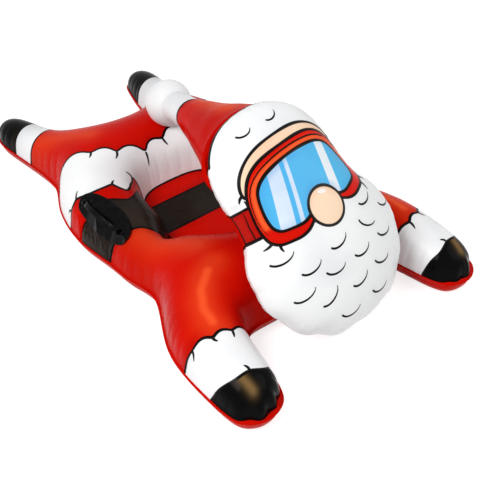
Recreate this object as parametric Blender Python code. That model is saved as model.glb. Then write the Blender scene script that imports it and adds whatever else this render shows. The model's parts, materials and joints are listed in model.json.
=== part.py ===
# Inflatable snow sled: a winter rider lying face forward, with a raised head pillow,
# a bobble cap, two side handles and two air valves.
# Metres, +Z up. The origin lies under the middle of the sled, the head points to -Y.

import math

import bmesh
import bpy
import numpy as np
from mathutils import Matrix, Vector
from mathutils.bvhtree import BVHTree
from mathutils.geometry import delaunay_2d_cdt

mm = 0.001

# Driving dimensions of the air mattress body
sled_length = 1.42
sled_width = 0.82
seam_height = 45 * mm
tube_limit = 350 * mm
tube_gain_share = 1.42
keel_profile = [(8 * mm, 0.64), (28 * mm, 1.0)]
rim_thickness = 1.2 * mm
weld_margin = 5 * mm
panel_gap = 0.3 * mm
seat_gap = 0.3 * mm
finger_lobes = 4
finger_notch = 15 * mm
finger_root_share = -0.452
notch_side_share = 0.3

# Deck, the flat sheet that the rider lies on
deck_width = 300 * mm
deck_front_share = -0.1761
deck_rear_share = 0.0915
deck_thickness = 3 * mm
deck_corner_share = 0.62

# Head pillow, on a plane that rises from the chin
head_length = 615 * mm
head_width = 440 * mm
head_tilt = 46.5
head_lean = 8.0
lean_pivot = 240 * mm
chin_place = -660 * mm
chin_height = 50 * mm
face_gain_share = 0.62
nape_gain_share = 0.60
nose_place = 318 * mm
nose_radius = 48 * mm
strap_low_share = 0.553
strap_high_share = 0.67
collar_lobes = 9
collar_lobe_height = 10 * mm

# Cap tail and pompom
tail_root_side_share = 0.004
tail_root_place_share = 0.8195
tail_root_back_share = -0.046
tail_root_width = 330 * mm
tail_root_depth = 200 * mm
tail_tip_width = 100 * mm
tail_tip_depth = 92 * mm
tail_tip_share = 0.665
neck_end_width = 88 * mm
neck_end_share = 0.95
tail_rise = 2 * mm
tail_turn = 2.0
tail_taper = 0.72
pompom_radius = 64 * mm
pompom_side = 70 * mm
pompom_place = 226 * mm
pompom_sink = 14.3 * mm

# Side handles: a welded pad with two ears, and a grip on a pin between them
pad_length = 215 * mm
pad_width = 92 * mm
pad_thickness = 3 * mm
pad_place = -2 * mm
pad_side = 292 * mm
pad_height = 128 * mm
pad_lean = 48.0
pad_corner_share = 0.9
pad_reach = 45 * mm
ear_spacing = 150 * mm
ear_length = 10 * mm
ear_width = 16 * mm
ear_top = 6 * mm
axis_rise = 8 * mm
pin_radius = 3 * mm
pin_clearance = 0.4 * mm
grip_rise = 21 * mm
grip_width = 14 * mm
grip_thickness = 5 * mm
grip_flat_share = 2.6
grip_corner_share = 0.6
pin_length = 10 * mm
pin_root = 5 * mm

# Air valves: a flange, a stem that is pushed in flush, and a plug on a short strap
flange_radius = 16 * mm
flange_thickness = 1.2 * mm
flange_hole = 6.9 * mm
recess_radius = 16.5 * mm
recess_margin = 0.5 * mm
well_radius = 8.2 * mm
well_depth = 32 * mm
stem_radius = 6.5 * mm
stem_bore = 4.6 * mm
stem_length = 22 * mm
lip_radius = 8 * mm
lip_low = 1.8 * mm
lip_top = 4 * mm
stop_radius = 7.4 * mm
stop_top = 14 * mm
stop_thickness = 2 * mm
plug_radius = 7.5 * mm
plug_thickness = 1.8 * mm
nub_radius = 3.6 * mm
nub_tip_radius = 3.2 * mm
nub_length = 3.5 * mm
strap_reach = 10.2 * mm
strap_width = 5 * mm
body_valve_place = -160 * mm
body_valve_height = 105 * mm
body_valve_lean = 24.0
head_valve_side_share = 0.50
head_valve_place_share = 0.575

# Steps of the meshes
sheet_step = 27 * mm
base_step = 60 * mm
head_step = 26 * mm
outline_step = 19 * mm
base_outline_step = 30 * mm
zone_step = 15 * mm
round_sides = 20
lobe_parts = 5
tail_rings = 10
grip_rings = 15

# Limits of the mesh tools
weld_distance = 0.05 * mm
clear_share = 0.55
mitre_limit_share = 0.5
flat_angle = math.radians(0.5)
sharp_angle = math.radians(40)
ray_start = 200 * mm

# Half of the body's outline from the chest to the crotch: shares of half the width and of the length
body_outline_shares = (
    (0.000, -0.3465), (0.171, -0.3458), (0.341, -0.3430), (0.476, -0.3408), (0.556, -0.3486),
    (0.590, -0.3700), (0.607, -0.3950), (0.625, -0.4225), (0.650, -0.4577), (0.705, -0.4894),
    (0.800, -0.5000), (0.895, -0.4965), (0.968, -0.4789), (0.995, -0.4437), (1.000, -0.4049),
    (1.000, -0.3592), (0.985, -0.3169), (0.946, -0.2782), (0.873, -0.2359), (0.802, -0.1958),
    (0.773, -0.1634), (0.788, -0.1338), (0.815, -0.1021), (0.829, -0.0423), (0.854, 0.0141),
    (0.859, 0.0493), (0.844, 0.0951), (0.795, 0.1514), (0.727, 0.1937), (0.685, 0.2254),
    (0.678, 0.2746), (0.695, 0.3345), (0.717, 0.3894), (0.734, 0.4450), (0.697, 0.4855),
    (0.610, 0.5000), (0.522, 0.4890), (0.470, 0.4507), (0.432, 0.4113), (0.396, 0.3650),
    (0.340, 0.3230), (0.240, 0.2920), (0.120, 0.2770), (0.000, 0.2740),
)

# Borders of the printed zones on the body, from the right edge towards the middle or across
belt_front_shares = [
    (-1.1, -0.044), (-0.828, -0.0447), (-0.74, -0.054), (-0.661, -0.0668), (-0.621, -0.0696),
    (-0.56, -0.088), (-0.50, -0.115), (-0.366, -0.0458),
]
belt_rear_shares = [
    (-1.1, 0.045), (-0.86, 0.0435), (-0.76, 0.037), (-0.667, 0.0274), (-0.595, 0.008),
    (-0.54, -0.002), (-0.47, 0.012), (-0.40, 0.036), (-0.366, 0.0387),
]
hem_front_shares = [
    (-1.0, 0.093), (-0.82, 0.0885), (-0.777, 0.085), (-0.684, 0.060), (-0.557, 0.052),
    (-0.50, 0.026), (-0.43, 0.046), (-0.366, 0.070), (-0.22, 0.062),
]
hem_rear_shares = [
    (-1.0, 0.240), (-0.74, 0.190), (-0.505, 0.1506), (-0.355, 0.1232), (-0.147, 0.1117),
    (0.027, 0.1222), (0.21, 0.128), (0.37, 0.140), (0.52, 0.158), (0.74, 0.190), (1.0, 0.240),
]
cuff_line_shares = [
    (-1.06, -0.352), (-0.95, -0.352), (-0.845, -0.367), (-0.73, -0.374), (-0.58, -0.381),
]
mitt_line_shares = [(-1.06, -0.408), (-0.62, -0.441)]
shin_line_shares = [(-0.76, 0.334), (-0.632, 0.3345), (-0.34, 0.351)]
boot_line_shares = [(-0.76, 0.386), (-0.40, 0.398)]

# Lobes of each fleece edge: share of the lobe's length by which it bulges towards +Y
cuff_lobe_share = 0.20
mitt_lobe_share = -0.05
shin_lobe_share = -0.04
boot_lobe_share = 0.07
hem_front_lobe_share = -0.07
hem_rear_lobe_share = 0.24
lobe_round_share = 0.8

# Half of the head's outline and zones from chin to crown: shares of half the width and of the length
head_outline_shares = [
    (0.00, 0.052), (0.16, 0.048), (0.33, 0.058), (0.50, 0.082), (0.64, 0.114),
    (0.77, 0.158), (0.88, 0.213), (0.945, 0.275), (0.985, 0.345), (0.965, 0.415),
    (0.89, 0.475), (0.81, 0.535), (0.77, 0.600), (0.765, 0.670), (0.765, 0.740),
    (0.74, 0.800), (0.68, 0.860), (0.57, 0.910), (0.41, 0.950), (0.21, 0.972), (0.00, 0.978),
]
frame_shares = [
    (0.00, 0.530), (0.18, 0.510), (0.30, 0.485), (0.42, 0.478), (0.53, 0.485), (0.64, 0.495),
    (0.69, 0.515), (0.70, 0.555), (0.68, 0.620), (0.64, 0.690), (0.58, 0.735), (0.49, 0.767),
    (0.36, 0.787), (0.20, 0.795), (0.00, 0.797),
]
lens_shares = [
    (0.00, 0.565), (0.12, 0.550), (0.22, 0.525), (0.32, 0.515), (0.45, 0.523), (0.565, 0.535),
    (0.60, 0.555), (0.60, 0.600), (0.56, 0.670), (0.50, 0.710), (0.38, 0.735), (0.20, 0.748),
    (0.00, 0.752),
]
brow_line_shares = [
    (-0.60, 0.675), (-0.655, 0.715), (-0.625, 0.755), (-0.55, 0.790), (-0.42, 0.820),
    (-0.25, 0.838), (0.00, 0.842),
]
strap_inner_share = 0.66
strap_outer_share = 0.90


def remove_old_objects():
    for item in list(bpy.data.objects):
        bpy.data.objects.remove(item, do_unlink=True)


def make_material(name, color, roughness, metallic=0.0):
    material = bpy.data.materials.new(name)
    material.use_nodes = True
    shader = material.node_tree.nodes["Principled BSDF"]
    shader.inputs["Base Color"].default_value = (*color, 1)
    shader.inputs["Roughness"].default_value = roughness
    shader.inputs["Metallic"].default_value = metallic
    material.diffuse_color = (*color, 1)
    return material


# Outlines in plan


def smooth_loop(points, step):
    """Closed Catmull-Rom curve through the points, read at about one point a step."""
    count = len(points)
    loop = []
    for index in range(count):
        before, start, end, after = (np.array(points[(index + k) % count]) for k in (-1, 0, 1, 2))
        parts = max(1, round(float(np.linalg.norm(end - start)) / step))
        for part in range(parts):
            t = part / parts
            loop.append(
                0.5
                * (
                    2 * start
                    + (end - before) * t
                    + (2 * before - 5 * start + 4 * end - after) * t**2
                    + (3 * start - before - 3 * end + after) * t**3
                )
            )
    return np.array(loop)


def mirrored_loop(half):
    """Whole outline from its half: the first and last points lie on the middle line."""
    other = [(-x, y) for x, y in reversed(half[1:-1])]
    return list(half) + other


def inside(points, loop):
    """Which of the points lie inside the closed loop."""
    x, y = points[:, 0], points[:, 1]
    result = np.zeros(len(points), bool)
    for (x1, y1), (x2, y2) in zip(loop, np.roll(loop, -1, axis=0)):
        crosses = (y1 > y) != (y2 > y)
        if y1 == y2:
            continue
        result ^= crosses & (x < (x2 - x1) * (y - y1) / (y2 - y1) + x1)
    return result


def lobed_line(anchors, bulge_share):
    """Fleece edge: one round lobe between each pair of anchors, bulging to the left of the way."""
    line = []
    for start, end in zip(anchors[:-1], anchors[1:]):
        start, end = np.array(start), np.array(end)
        along = end - start
        side = np.array((-along[1], along[0]))
        for part in range(lobe_parts):
            t = part / lobe_parts
            line.append(start + along * t + side * bulge_share * math.sin(math.pi * t) ** lobe_round_share)
    line.append(np.array(anchors[-1]))
    return line


def rounded_oblong(width, length, centre, step, corner_share):
    """Closed loop of a superellipse, whose corners are rounder for a larger share."""
    count = max(16, round((width + length) * 1.8 / step))
    loop = []
    for index in range(count):
        angle = 2 * math.pi * index / count
        c, s = math.cos(angle), math.sin(angle)
        loop.append(
            (
                width / 2 * math.copysign(abs(c) ** corner_share, c),
                centre + length / 2 * math.copysign(abs(s) ** corner_share, s),
            )
        )
    return np.array(loop)


def grown_loop(loop, distance):
    """The loop moved outwards by the distance; the loop runs anticlockwise."""
    before, after = np.roll(loop, 1, axis=0), np.roll(loop, -1, axis=0)
    along = after - before
    outwards = np.stack([along[:, 1], -along[:, 0]], 1)
    return loop + distance * outwards / np.linalg.norm(outwards, axis=1)[:, None]


def anticlockwise(loop):
    x, y = loop[:, 0], loop[:, 1]
    area = float(np.sum(x * np.roll(y, -1) - y * np.roll(x, -1)))
    return loop if area > 0 else loop[::-1]


# Flat triangles and the shape that air gives them


def distance_to_lines(points, starts, ends):
    nearest = np.full(len(points), np.inf)
    for start, end in zip(starts, ends):
        along = end - start
        share = np.clip((points - start) @ along / max(along @ along, 1e-18), 0, 1)
        nearest = np.minimum(nearest, np.linalg.norm(points - start - share[:, None] * along, axis=1))
    return nearest


def flat_triangles(loops, lines, step):
    """Triangles inside the first loop that follow every loop and line."""
    points, edges = [], []
    for loop in loops:
        first = len(points)
        points += [tuple(p) for p in loop]
        edges += [(first + k, first + (k + 1) % len(loop)) for k in range(len(loop))]
    for line in lines:
        first = len(points)
        points += [tuple(p) for p in line]
        edges += [(first + k, first + k + 1) for k in range(len(line) - 1)]
    drawn = np.array(points)
    starts, ends = drawn[[a for a, b in edges]], drawn[[b for a, b in edges]]

    low, high = loops[0].min(axis=0), loops[0].max(axis=0)
    row_step = step * math.sqrt(3) / 2
    spread = []
    for row in range(int((high[1] - low[1]) / row_step) + 1):
        shift = step / 2 * (row % 2)
        for column in range(int((high[0] - low[0]) / step) + 1):
            spread.append((low[0] + shift + column * step, low[1] + row * row_step))
    spread = np.array(spread)
    spread = spread[inside(spread, loops[0])]
    spread = spread[distance_to_lines(spread, starts, ends) > step * clear_share]

    corners = [Vector(p) for p in points] + [Vector(p) for p in spread]
    out = delaunay_2d_cdt(corners, edges, [], 0, weld_distance)
    flat = np.array([tuple(v) for v in out[0]])
    faces = np.array([tuple(face) for face in out[2]])
    return flat, faces[inside(flat[faces].mean(axis=1), loops[0])]


def border_edges(faces):
    """Edges with one face, in that face's direction."""
    seen = {}
    for face in faces:
        for a, b in zip(face, np.roll(face, -1)):
            seen[(a, b)] = True
    return [(a, b) for a, b in seen if (b, a) not in seen]


def air_film(flat, faces):
    """Poisson's equation on the triangles: a film pinned at its border and lifted by even air pressure."""
    used = np.unique(faces)
    place = {vertex: index for index, vertex in enumerate(used)}
    stiffness = np.zeros((len(used), len(used)))
    load = np.zeros(len(used))
    for face in faces:
        corner = flat[face]
        edge = np.roll(corner, -2, axis=0) - np.roll(corner, -1, axis=0)
        area = abs(edge[0, 0] * edge[1, 1] - edge[0, 1] * edge[1, 0]) / 2
        rows = [place[vertex] for vertex in face]
        stiffness[np.ix_(rows, rows)] += edge @ edge.T / (4 * area)
        load[rows] += area / 3
    pinned = {place[a] for edge in border_edges(faces) for a in edge}
    free = [index for index in range(len(used)) if index not in pinned]
    film = np.zeros(len(used))
    film[free] = np.linalg.solve(stiffness[np.ix_(free, free)], load[free])
    height = np.zeros(len(flat))
    height[used] = np.sqrt(2 * np.maximum(film, 0))
    return height


def shrunk(flat, faces, distance):
    """The points of these faces, with the border drawn in by the distance."""
    moved = flat.copy()
    inwards = {}
    for a, b in border_edges(faces):
        along = flat[b] - flat[a]
        normal = np.array((-along[1], along[0])) / np.linalg.norm(along)
        inwards.setdefault(a, []).append(normal)
        inwards.setdefault(b, []).append(normal)
    for vertex, normals in inwards.items():
        mean = sum(normals) / len(normals)
        mean_length = max(float(np.linalg.norm(mean)), mitre_limit_share)
        moved[vertex] = flat[vertex] + distance * mean / mean_length**2
    return moved


def layer_solid(name, flat, faces, low, high, frame, material):
    """Closed solid over the drawn-in triangles, between two heights at each point."""
    points = shrunk(flat, faces, panel_gap / 2)
    bm = bmesh.new()
    corner = {v: bm.verts.new((*points[v], high[v])) for v in np.unique(faces)}
    for face in faces:
        bm.faces.new([corner[v] for v in face])
    upper = list(bm.verts)
    number = {vertex: v for v, vertex in corner.items()}
    places = [number[vertex] for vertex in upper]
    made = bmesh.ops.extrude_face_region(bm, geom=bm.faces[:])["geom"]
    lower = [item for item in made if isinstance(item, bmesh.types.BMVert)]
    by_place = {(round(v.co.x, 7), round(v.co.y, 7)): v for v in lower}
    for vertex, place in zip(upper, places):
        by_place[(round(vertex.co.x, 7), round(vertex.co.y, 7))].co.z = low[place]
    merge_flat_faces(bm, lower)
    bmesh.ops.recalc_face_normals(bm, faces=bm.faces[:])
    bm.transform(frame)
    return finish_mesh(name, bm, material)


def merge_flat_faces(bm, vertices):
    bm.normal_update()
    own = set(vertices)
    edges = [e for e in bm.edges if e.verts[0] in own and e.verts[1] in own]
    bmesh.ops.dissolve_limit(bm, angle_limit=flat_angle, verts=vertices, edges=edges)


def raised_solid(name, flat, faces, rise, frame, material, below=False):
    """Closed solid between the seam plane and the rise over it, or under it when below."""
    way = -1 if below else 1
    near = np.full(len(flat), way * panel_gap / 2)
    return layer_solid(name, flat, faces, near, near + way * rise, frame, material)


def finish_mesh(name, bm, material):
    mesh = bpy.data.meshes.new(name)
    bm.to_mesh(mesh)
    bm.free()
    mesh.materials.append(material)
    mesh.shade_smooth()
    mesh.set_sharp_from_angle(angle=sharp_angle)
    piece = bpy.data.objects.new(name, mesh)
    sled.objects.link(piece)
    return piece


def grown_form(name, flat, faces, low, high, frame, distance):
    """Cutter in the shape of a closed form with every face moved out by the distance."""
    bm = bmesh.new()
    used = np.unique(faces)
    upper = {v: bm.verts.new((*flat[v], high[v])) for v in used}
    lower = {v: bm.verts.new((*flat[v], low[v])) for v in used}
    for a, b, c in faces:
        bm.faces.new((upper[a], upper[b], upper[c]))
        bm.faces.new((lower[c], lower[b], lower[a]))
    for a, b in border_edges(faces):
        bm.faces.new((upper[b], upper[a], lower[a], lower[b]))
    bmesh.ops.recalc_face_normals(bm, faces=bm.faces[:])
    bm.normal_update()
    moves = [(v, v.normal * distance * v.calc_shell_factor()) for v in bm.verts]
    for vertex, move in moves:
        vertex.co += move
    bm.transform(frame)
    return as_cutter(finish_mesh(name, bm, red))


def as_cutter(piece):
    sled.objects.unlink(piece)
    cutters.objects.link(piece)
    piece.hide_render = True
    piece.display_type = "WIRE"
    return piece


def combine(piece, other, operation):
    modifier = piece.modifiers.new(operation.lower(), "BOOLEAN")
    modifier.operation = operation
    modifier.object = other
    modifier.solver = "EXACT"


def turned_piece(name, profile, frame, material):
    """Round solid: a profile of (radius, height) points turned about the Z axis."""
    bm = bmesh.new()
    verts = [bm.verts.new((r, 0, z)) for r, z in profile]
    edges = [bm.edges.new(pair) for pair in zip(verts, verts[1:])]
    if profile[0][0] > 0:
        edges.append(bm.edges.new((verts[-1], verts[0])))
    bmesh.ops.spin(
        bm, geom=verts + edges, angle=2 * math.pi, steps=round_sides,
        axis=(0, 0, 1), cent=(0, 0, 0), use_merge=True,
    )
    bmesh.ops.remove_doubles(bm, verts=bm.verts[:], dist=weld_distance)
    bmesh.ops.recalc_face_normals(bm, faces=bm.faces[:])
    piece = finish_mesh(name, bm, material)
    piece.matrix_world = frame
    return piece


def box_piece(name, low, high, frame, material):
    bm = bmesh.new()
    bmesh.ops.create_cube(bm, size=1)
    size = Vector(high) - Vector(low)
    bm.transform(Matrix.Translation((Vector(high) + Vector(low)) / 2) @ Matrix.Diagonal((*size, 1)))
    piece = finish_mesh(name, bm, material)
    piece.matrix_world = frame
    return piece


# The body: one inflated outline, printed in zones


def body_places(shares):
    return [(x * sled_width / 2, y * sled_length) for x, y in shares]


def mirrored(points):
    return [(-x, y) for x, y in reversed(points)]


def body_outline(step):
    return anticlockwise(smooth_loop(mirrored_loop(body_places(body_outline_shares)), step))


def fingered(loop):
    """The outline with a notch between the fingers of each mitt; the sheet below keeps it smooth."""
    along = np.roll(loop, -1, axis=0) - np.roll(loop, 1, axis=0)
    inwards = np.stack([-along[:, 1], along[:, 0]], 1) / np.linalg.norm(along, axis=1)[:, None]
    depth = np.zeros(len(loop))
    for side in (-1, 1):
        own = np.flatnonzero((loop[:, 0] * side > 0) & (loop[:, 1] < finger_root_share * sled_length))
        steps = np.linalg.norm(np.diff(loop[own], axis=0), axis=1)
        way = np.concatenate([[0], np.cumsum(steps)]) / steps.sum()
        for finger in range(1, finger_lobes):
            notch = own[np.argmin(np.abs(way - finger / finger_lobes))]
            depth[[notch - 1, notch, notch + 1]] = np.array([notch_side_share, 1, notch_side_share]) * finger_notch
    return loop + inwards * depth[:, None]


def body_lines():
    """Borders of the printed zones. Each runs towards +X and ends outside the outline."""
    lines = {}
    for name, anchors, bulge_share in (
        ("mitt", mitt_line_shares, mitt_lobe_share),
        ("cuff", cuff_line_shares, cuff_lobe_share),
        ("shin", shin_line_shares, shin_lobe_share),
        ("boot", boot_line_shares, boot_lobe_share),
    ):
        lines["right_" + name] = lobed_line(body_places(anchors), bulge_share)
        lines["left_" + name] = mirrored(lines["right_" + name])
    for name, half in (("belt_front", belt_front_shares), ("belt_rear", belt_rear_shares)):
        lines[name] = body_places(half + mirrored(half))
    half = hem_front_shares
    lines["hem_front"] = lobed_line(body_places(half + mirrored(half)), hem_front_lobe_share)
    lines["hem_rear"] = lobed_line(body_places(hem_rear_shares), hem_rear_lobe_share)
    return lines


def ahead_of(points, line):
    """Which points lie on the -Y side of the line, between the X of its ends."""
    corners = [(line[-1][0], -sled_length), (line[0][0], -sled_length)]
    return inside(points, np.array([tuple(p) for p in line] + corners))


def beyond(points, line):
    """Which points lie on the +Y side of the line, between the X of its ends."""
    corners = [(line[-1][0], sled_length), (line[0][0], sled_length)]
    return inside(points, np.array([tuple(p) for p in line] + corners))


def body_zones(centres, on_deck, lines):
    """Name of the zone that each triangle belongs to."""
    side = np.where(centres[:, 0] > 0, "left", "right")
    zone = np.full(len(centres), "trousers", dtype="U24")
    for part in ("right", "left"):
        zone[beyond(centres, lines[part + "_shin"])] = part + "_boot_cuff"
        zone[beyond(centres, lines[part + "_boot"])] = part + "_boot"
    zone[ahead_of(centres, lines["hem_rear"])] = "jacket_hem"
    zone[ahead_of(centres, lines["hem_front"])] = "skirt"
    zone[ahead_of(centres, lines["belt_rear"])] = "belt"
    zone[ahead_of(centres, lines["belt_front"])] = "jacket"
    for part in ("right", "left"):
        zone[ahead_of(centres, lines[part + "_cuff"])] = part + "_cuff"
        zone[ahead_of(centres, lines[part + "_mitt"])] = part + "_mitt"
        zone[(zone == "belt") & (side == part) & ~on_deck] = part + "_belt_side"
        zone[(zone == "skirt") & (side == part) & ~on_deck] = part + "_jacket_skirt"
    zone[on_deck & (zone == "jacket")] = "deck_front"
    zone[on_deck & (zone == "belt")] = "deck_belt"
    zone[on_deck & ((zone == "skirt") | (zone == "jacket_hem"))] = "deck_rear"
    return zone


def zone_material(name):
    for word, material in (
        ("mitt", black), ("boot_cuff", white), ("boot", black),
        ("cuff", white), ("belt", brown), ("hem", white),
    ):
        if word in name:
            return material
    return red


def make_body():
    """The printed top sheet in its zones, and its whole form grown by the seat gap."""
    outline = fingered(body_outline(outline_step))
    deck_length = (deck_rear_share - deck_front_share) * sled_length
    deck_centre = (deck_rear_share + deck_front_share) / 2 * sled_length
    deck = rounded_oblong(deck_width, deck_length, deck_centre, outline_step, deck_corner_share)
    lines = body_lines()
    flat, faces = flat_triangles([outline, deck], lines.values(), sheet_step)
    centres = flat[faces].mean(axis=1)
    on_deck = inside(centres, deck)
    film = air_film(flat, faces[~on_deck])
    rise = rim_thickness + tube_limit * (1 - np.exp(-tube_gain_share * film / tube_limit))
    level = Matrix.Translation((0, 0, seam_height))
    zones = body_zones(centres, on_deck, lines)
    for name in sorted(set(zones)):
        height = np.full(len(flat), deck_thickness) if name.startswith("deck") else rise
        raised_solid(name, flat, faces[zones == name], height, level, zone_material(name))
    ground = np.full(len(flat), -seam_height)
    tube = faces[~on_deck]
    for name, distance in (("body_clearance", seat_gap), ("pad_outside", seat_gap + pad_thickness)):
        grown_form(name, flat, tube, ground, rise, level, distance)


def make_base():
    """The bottom sheet: a flat underside with a rounded edge, a little wider than the top along the seam."""
    outline = body_outline(base_outline_step)
    loops = [grown_loop(outline, -inset) for inset, depth in keel_profile]
    flat, faces = flat_triangles([grown_loop(outline, weld_margin), *loops], [], base_step)
    depth = np.full(len(flat), seam_height - panel_gap / 2)
    depth[np.unique(border_edges(faces))] = rim_thickness
    for loop, (inset, share) in zip(loops, keel_profile):
        on_loop = distance_to_lines(flat, loop, np.roll(loop, -1, axis=0)) < weld_distance
        depth[on_loop] = (seam_height - panel_gap / 2) * share
    raised_solid("base_sheet", flat, faces, depth, Matrix.Translation((0, 0, seam_height)), red, below=True)


# The head pillow


def head_frame():
    tilt = math.radians(head_tilt)
    across = Vector((1, 0, 0))
    upwards = Vector((0, math.cos(tilt), math.sin(tilt)))
    frame = Matrix((across, upwards, across.cross(upwards))).transposed().to_4x4()
    frame.translation = (0, chin_place, chin_height)
    pivot = Matrix.Translation((0, lean_pivot, 0))
    return frame @ pivot @ Matrix.Rotation(math.radians(head_lean), 4, "Z") @ pivot.inverted()


def head_places(shares):
    return [(u * head_width / 2, v * head_length) for u, v in shares]


def head_outline():
    """Smooth around the cap, with round fleece lobes along the collar."""
    loop = anticlockwise(smooth_loop(mirrored_loop(head_places(head_outline_shares)), outline_step))
    first = max(range(len(loop)), key=lambda k: loop[k][1])
    loop = np.roll(loop, -first, axis=0)
    along = np.roll(loop, -1, axis=0) - np.roll(loop, 1, axis=0)
    outwards = np.stack([along[:, 1], -along[:, 0]], 1) / np.linalg.norm(along, axis=1)[:, None]
    collar = np.flatnonzero(loop[:, 1] < strap_low_share * head_length)
    steps = np.linalg.norm(np.diff(loop[collar], axis=0), axis=1)
    share = np.concatenate([[0], np.cumsum(steps)]) / steps.sum()
    lobes = np.abs(np.sin(math.pi * collar_lobes * share))
    loop[collar] += outwards[collar] * (collar_lobe_height * lobes)[:, None]
    return loop


def head_shapes():
    """Closed loops on the face, the topmost first."""
    shapes = {"nose": circle_loop(nose_place, nose_radius)}
    for name, half in (("goggle_lens", lens_shares), ("goggle_frame", frame_shares)):
        shapes[name] = anticlockwise(smooth_loop(mirrored_loop(head_places(half)), zone_step))
    return shapes


def circle_loop(place, radius):
    turns = 2 * math.pi * np.arange(round_sides) / round_sides
    return np.stack([radius * np.cos(turns), place + radius * np.sin(turns)], 1)


def head_lines():
    brow = head_places(brow_line_shares)
    brow = brow + mirrored(brow[:-1])
    lines = [brow]
    for v in (strap_low_share, strap_high_share):
        right = head_places([(-strap_outer_share, v), (-strap_inner_share, v)])
        lines += [right, mirrored(right)]
    return lines


def head_zones(centres, shapes, brow):
    u, v = centres[:, 0], centres[:, 1] / head_length
    zone = np.where(v > strap_high_share, "cap_band", "collar").astype("U24")
    on_strap = (v > strap_low_share) & (v < strap_high_share)
    zone[on_strap & (u < 0)] = "right_goggle_strap"
    zone[on_strap & (u > 0)] = "left_goggle_strap"
    zone[inside(centres, np.array(brow))] = "brow"
    for name in reversed(list(shapes)):
        zone[inside(centres, shapes[name])] = name
    return zone


def make_head():
    """The pillow's face in its zones and its plain nape, with their forms grown by the seat gap."""
    outline, shapes, lines = head_outline(), head_shapes(), head_lines()
    flat, faces = flat_triangles([outline, *shapes.values()], lines, head_step)
    film = air_film(flat, faces)
    frame = head_frame()
    zones = head_zones(flat[faces].mean(axis=1), shapes, lines[0])
    face = rim_thickness + face_gain_share * film
    for name in sorted(set(zones)):
        raised_solid(name, flat, faces[zones == name], face, frame, face_material(name))
    plain, plain_faces = flat_triangles([outline], [], head_step)
    depth = rim_thickness + nape_gain_share * air_film(plain, plain_faces)
    nape = raised_solid("head_back", plain, plain_faces, depth, frame, red, below=True)
    combine(nape, cutters.objects["body_clearance"], "DIFFERENCE")
    middle = np.zeros(len(flat))
    grown_form("face_clearance", flat, faces, middle, face, frame, seat_gap)
    grown_form("nape_clearance", plain, plain_faces, -depth, middle[: len(plain)], frame, seat_gap)


def face_material(name):
    if name in ("collar", "cap_band"):
        return white
    if name in ("nose", "brow"):
        return peach
    return blue if name == "goggle_lens" else red


# Cap tail and pompom


def pompom_centre():
    """The pompom rests on the tube behind the deck, a little pressed in."""
    tree = tree_of(cutters.objects["body_clearance"])
    top = tree.ray_cast(Vector((pompom_side, pompom_place, sled_length)), Vector((0, 0, -1)))[0]
    return top + Vector((0, 0, pompom_radius - pompom_sink))


def ball(name, radius, material):
    bm = bmesh.new()
    bmesh.ops.create_uvsphere(bm, u_segments=round_sides, v_segments=round_sides // 2, radius=radius)
    bm.transform(Matrix.Translation(pompom_centre()))
    return finish_mesh(name, bm, material)


def oval_ring(bm, centre, across, upwards, width, depth):
    ring = []
    for k in range(round_sides):
        turn = 2 * math.pi * k / round_sides
        reach = across * width / 2 * math.cos(turn) + upwards * depth / 2 * math.sin(turn)
        ring.append(bm.verts.new(centre + reach))
    return ring


def make_tail():
    """Soft cone that droops from the back of the head, with the pompom's neck at its end."""
    frame = head_frame()
    head = frame.to_3x3()
    root = frame @ Vector(
        (tail_root_side_share * head_width, tail_root_place_share * head_length, tail_root_back_share * head_width)
    )
    middle = pompom_centre()
    tip = root.lerp(middle, tail_tip_share)
    bm = bmesh.new()
    rings = []
    for index in range(tail_rings):
        t = index / (tail_rings - 1)
        centre = root.lerp(tip, t) + Vector((0, 0, tail_rise * math.sin(math.pi * t)))
        slope = tip - root + Vector((0, 0, tail_rise * math.pi * math.cos(math.pi * t)))
        across = slope.cross(Vector((0, 0, 1))).normalized()
        upwards = across.cross(slope).normalized()
        across = head.col[0].lerp(across, min(1, t * tail_turn)).normalized()
        upwards = head.col[1].lerp(upwards, min(1, t * tail_turn)).normalized()
        width = tail_root_width + (tail_tip_width - tail_root_width) * t**tail_taper
        depth = tail_root_depth + (tail_tip_depth - tail_root_depth) * t**tail_taper
        rings.append(oval_ring(bm, centre, across, upwards, width, depth))
    close_rings(bm, rings)
    tail = finish_mesh("cap_tail", bm, red)
    for name in ("face_clearance", "nape_clearance"):
        combine(tail, cutters.objects[name], "DIFFERENCE")

    bm = bmesh.new()
    start = tip + (middle - tip).normalized() * seat_gap
    end = root.lerp(middle, neck_end_share)
    near = oval_ring(bm, start, across, upwards, tail_tip_width, tail_tip_depth)
    far = oval_ring(bm, end, across, upwards, neck_end_width, neck_end_width)
    close_rings(bm, [near, far])
    neck = as_cutter(finish_mesh("pompom_neck", bm, white))
    pompom = ball("pompom", pompom_radius, white)
    combine(pompom, neck, "UNION")
    combine(pompom, cutters.objects["body_clearance"], "DIFFERENCE")


def close_rings(bm, rings):
    """Skin over the rings, with a flat cap on the first and the last one."""
    for one, two in zip(rings[:-1], rings[1:]):
        for k in range(len(one)):
            after = (k + 1) % len(one)
            bm.faces.new((one[k], one[after], two[after], two[k]))
    bm.faces.new(rings[0])
    bm.faces.new(rings[-1])
    bmesh.ops.recalc_face_normals(bm, faces=bm.faces[:])


# Side handles


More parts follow.
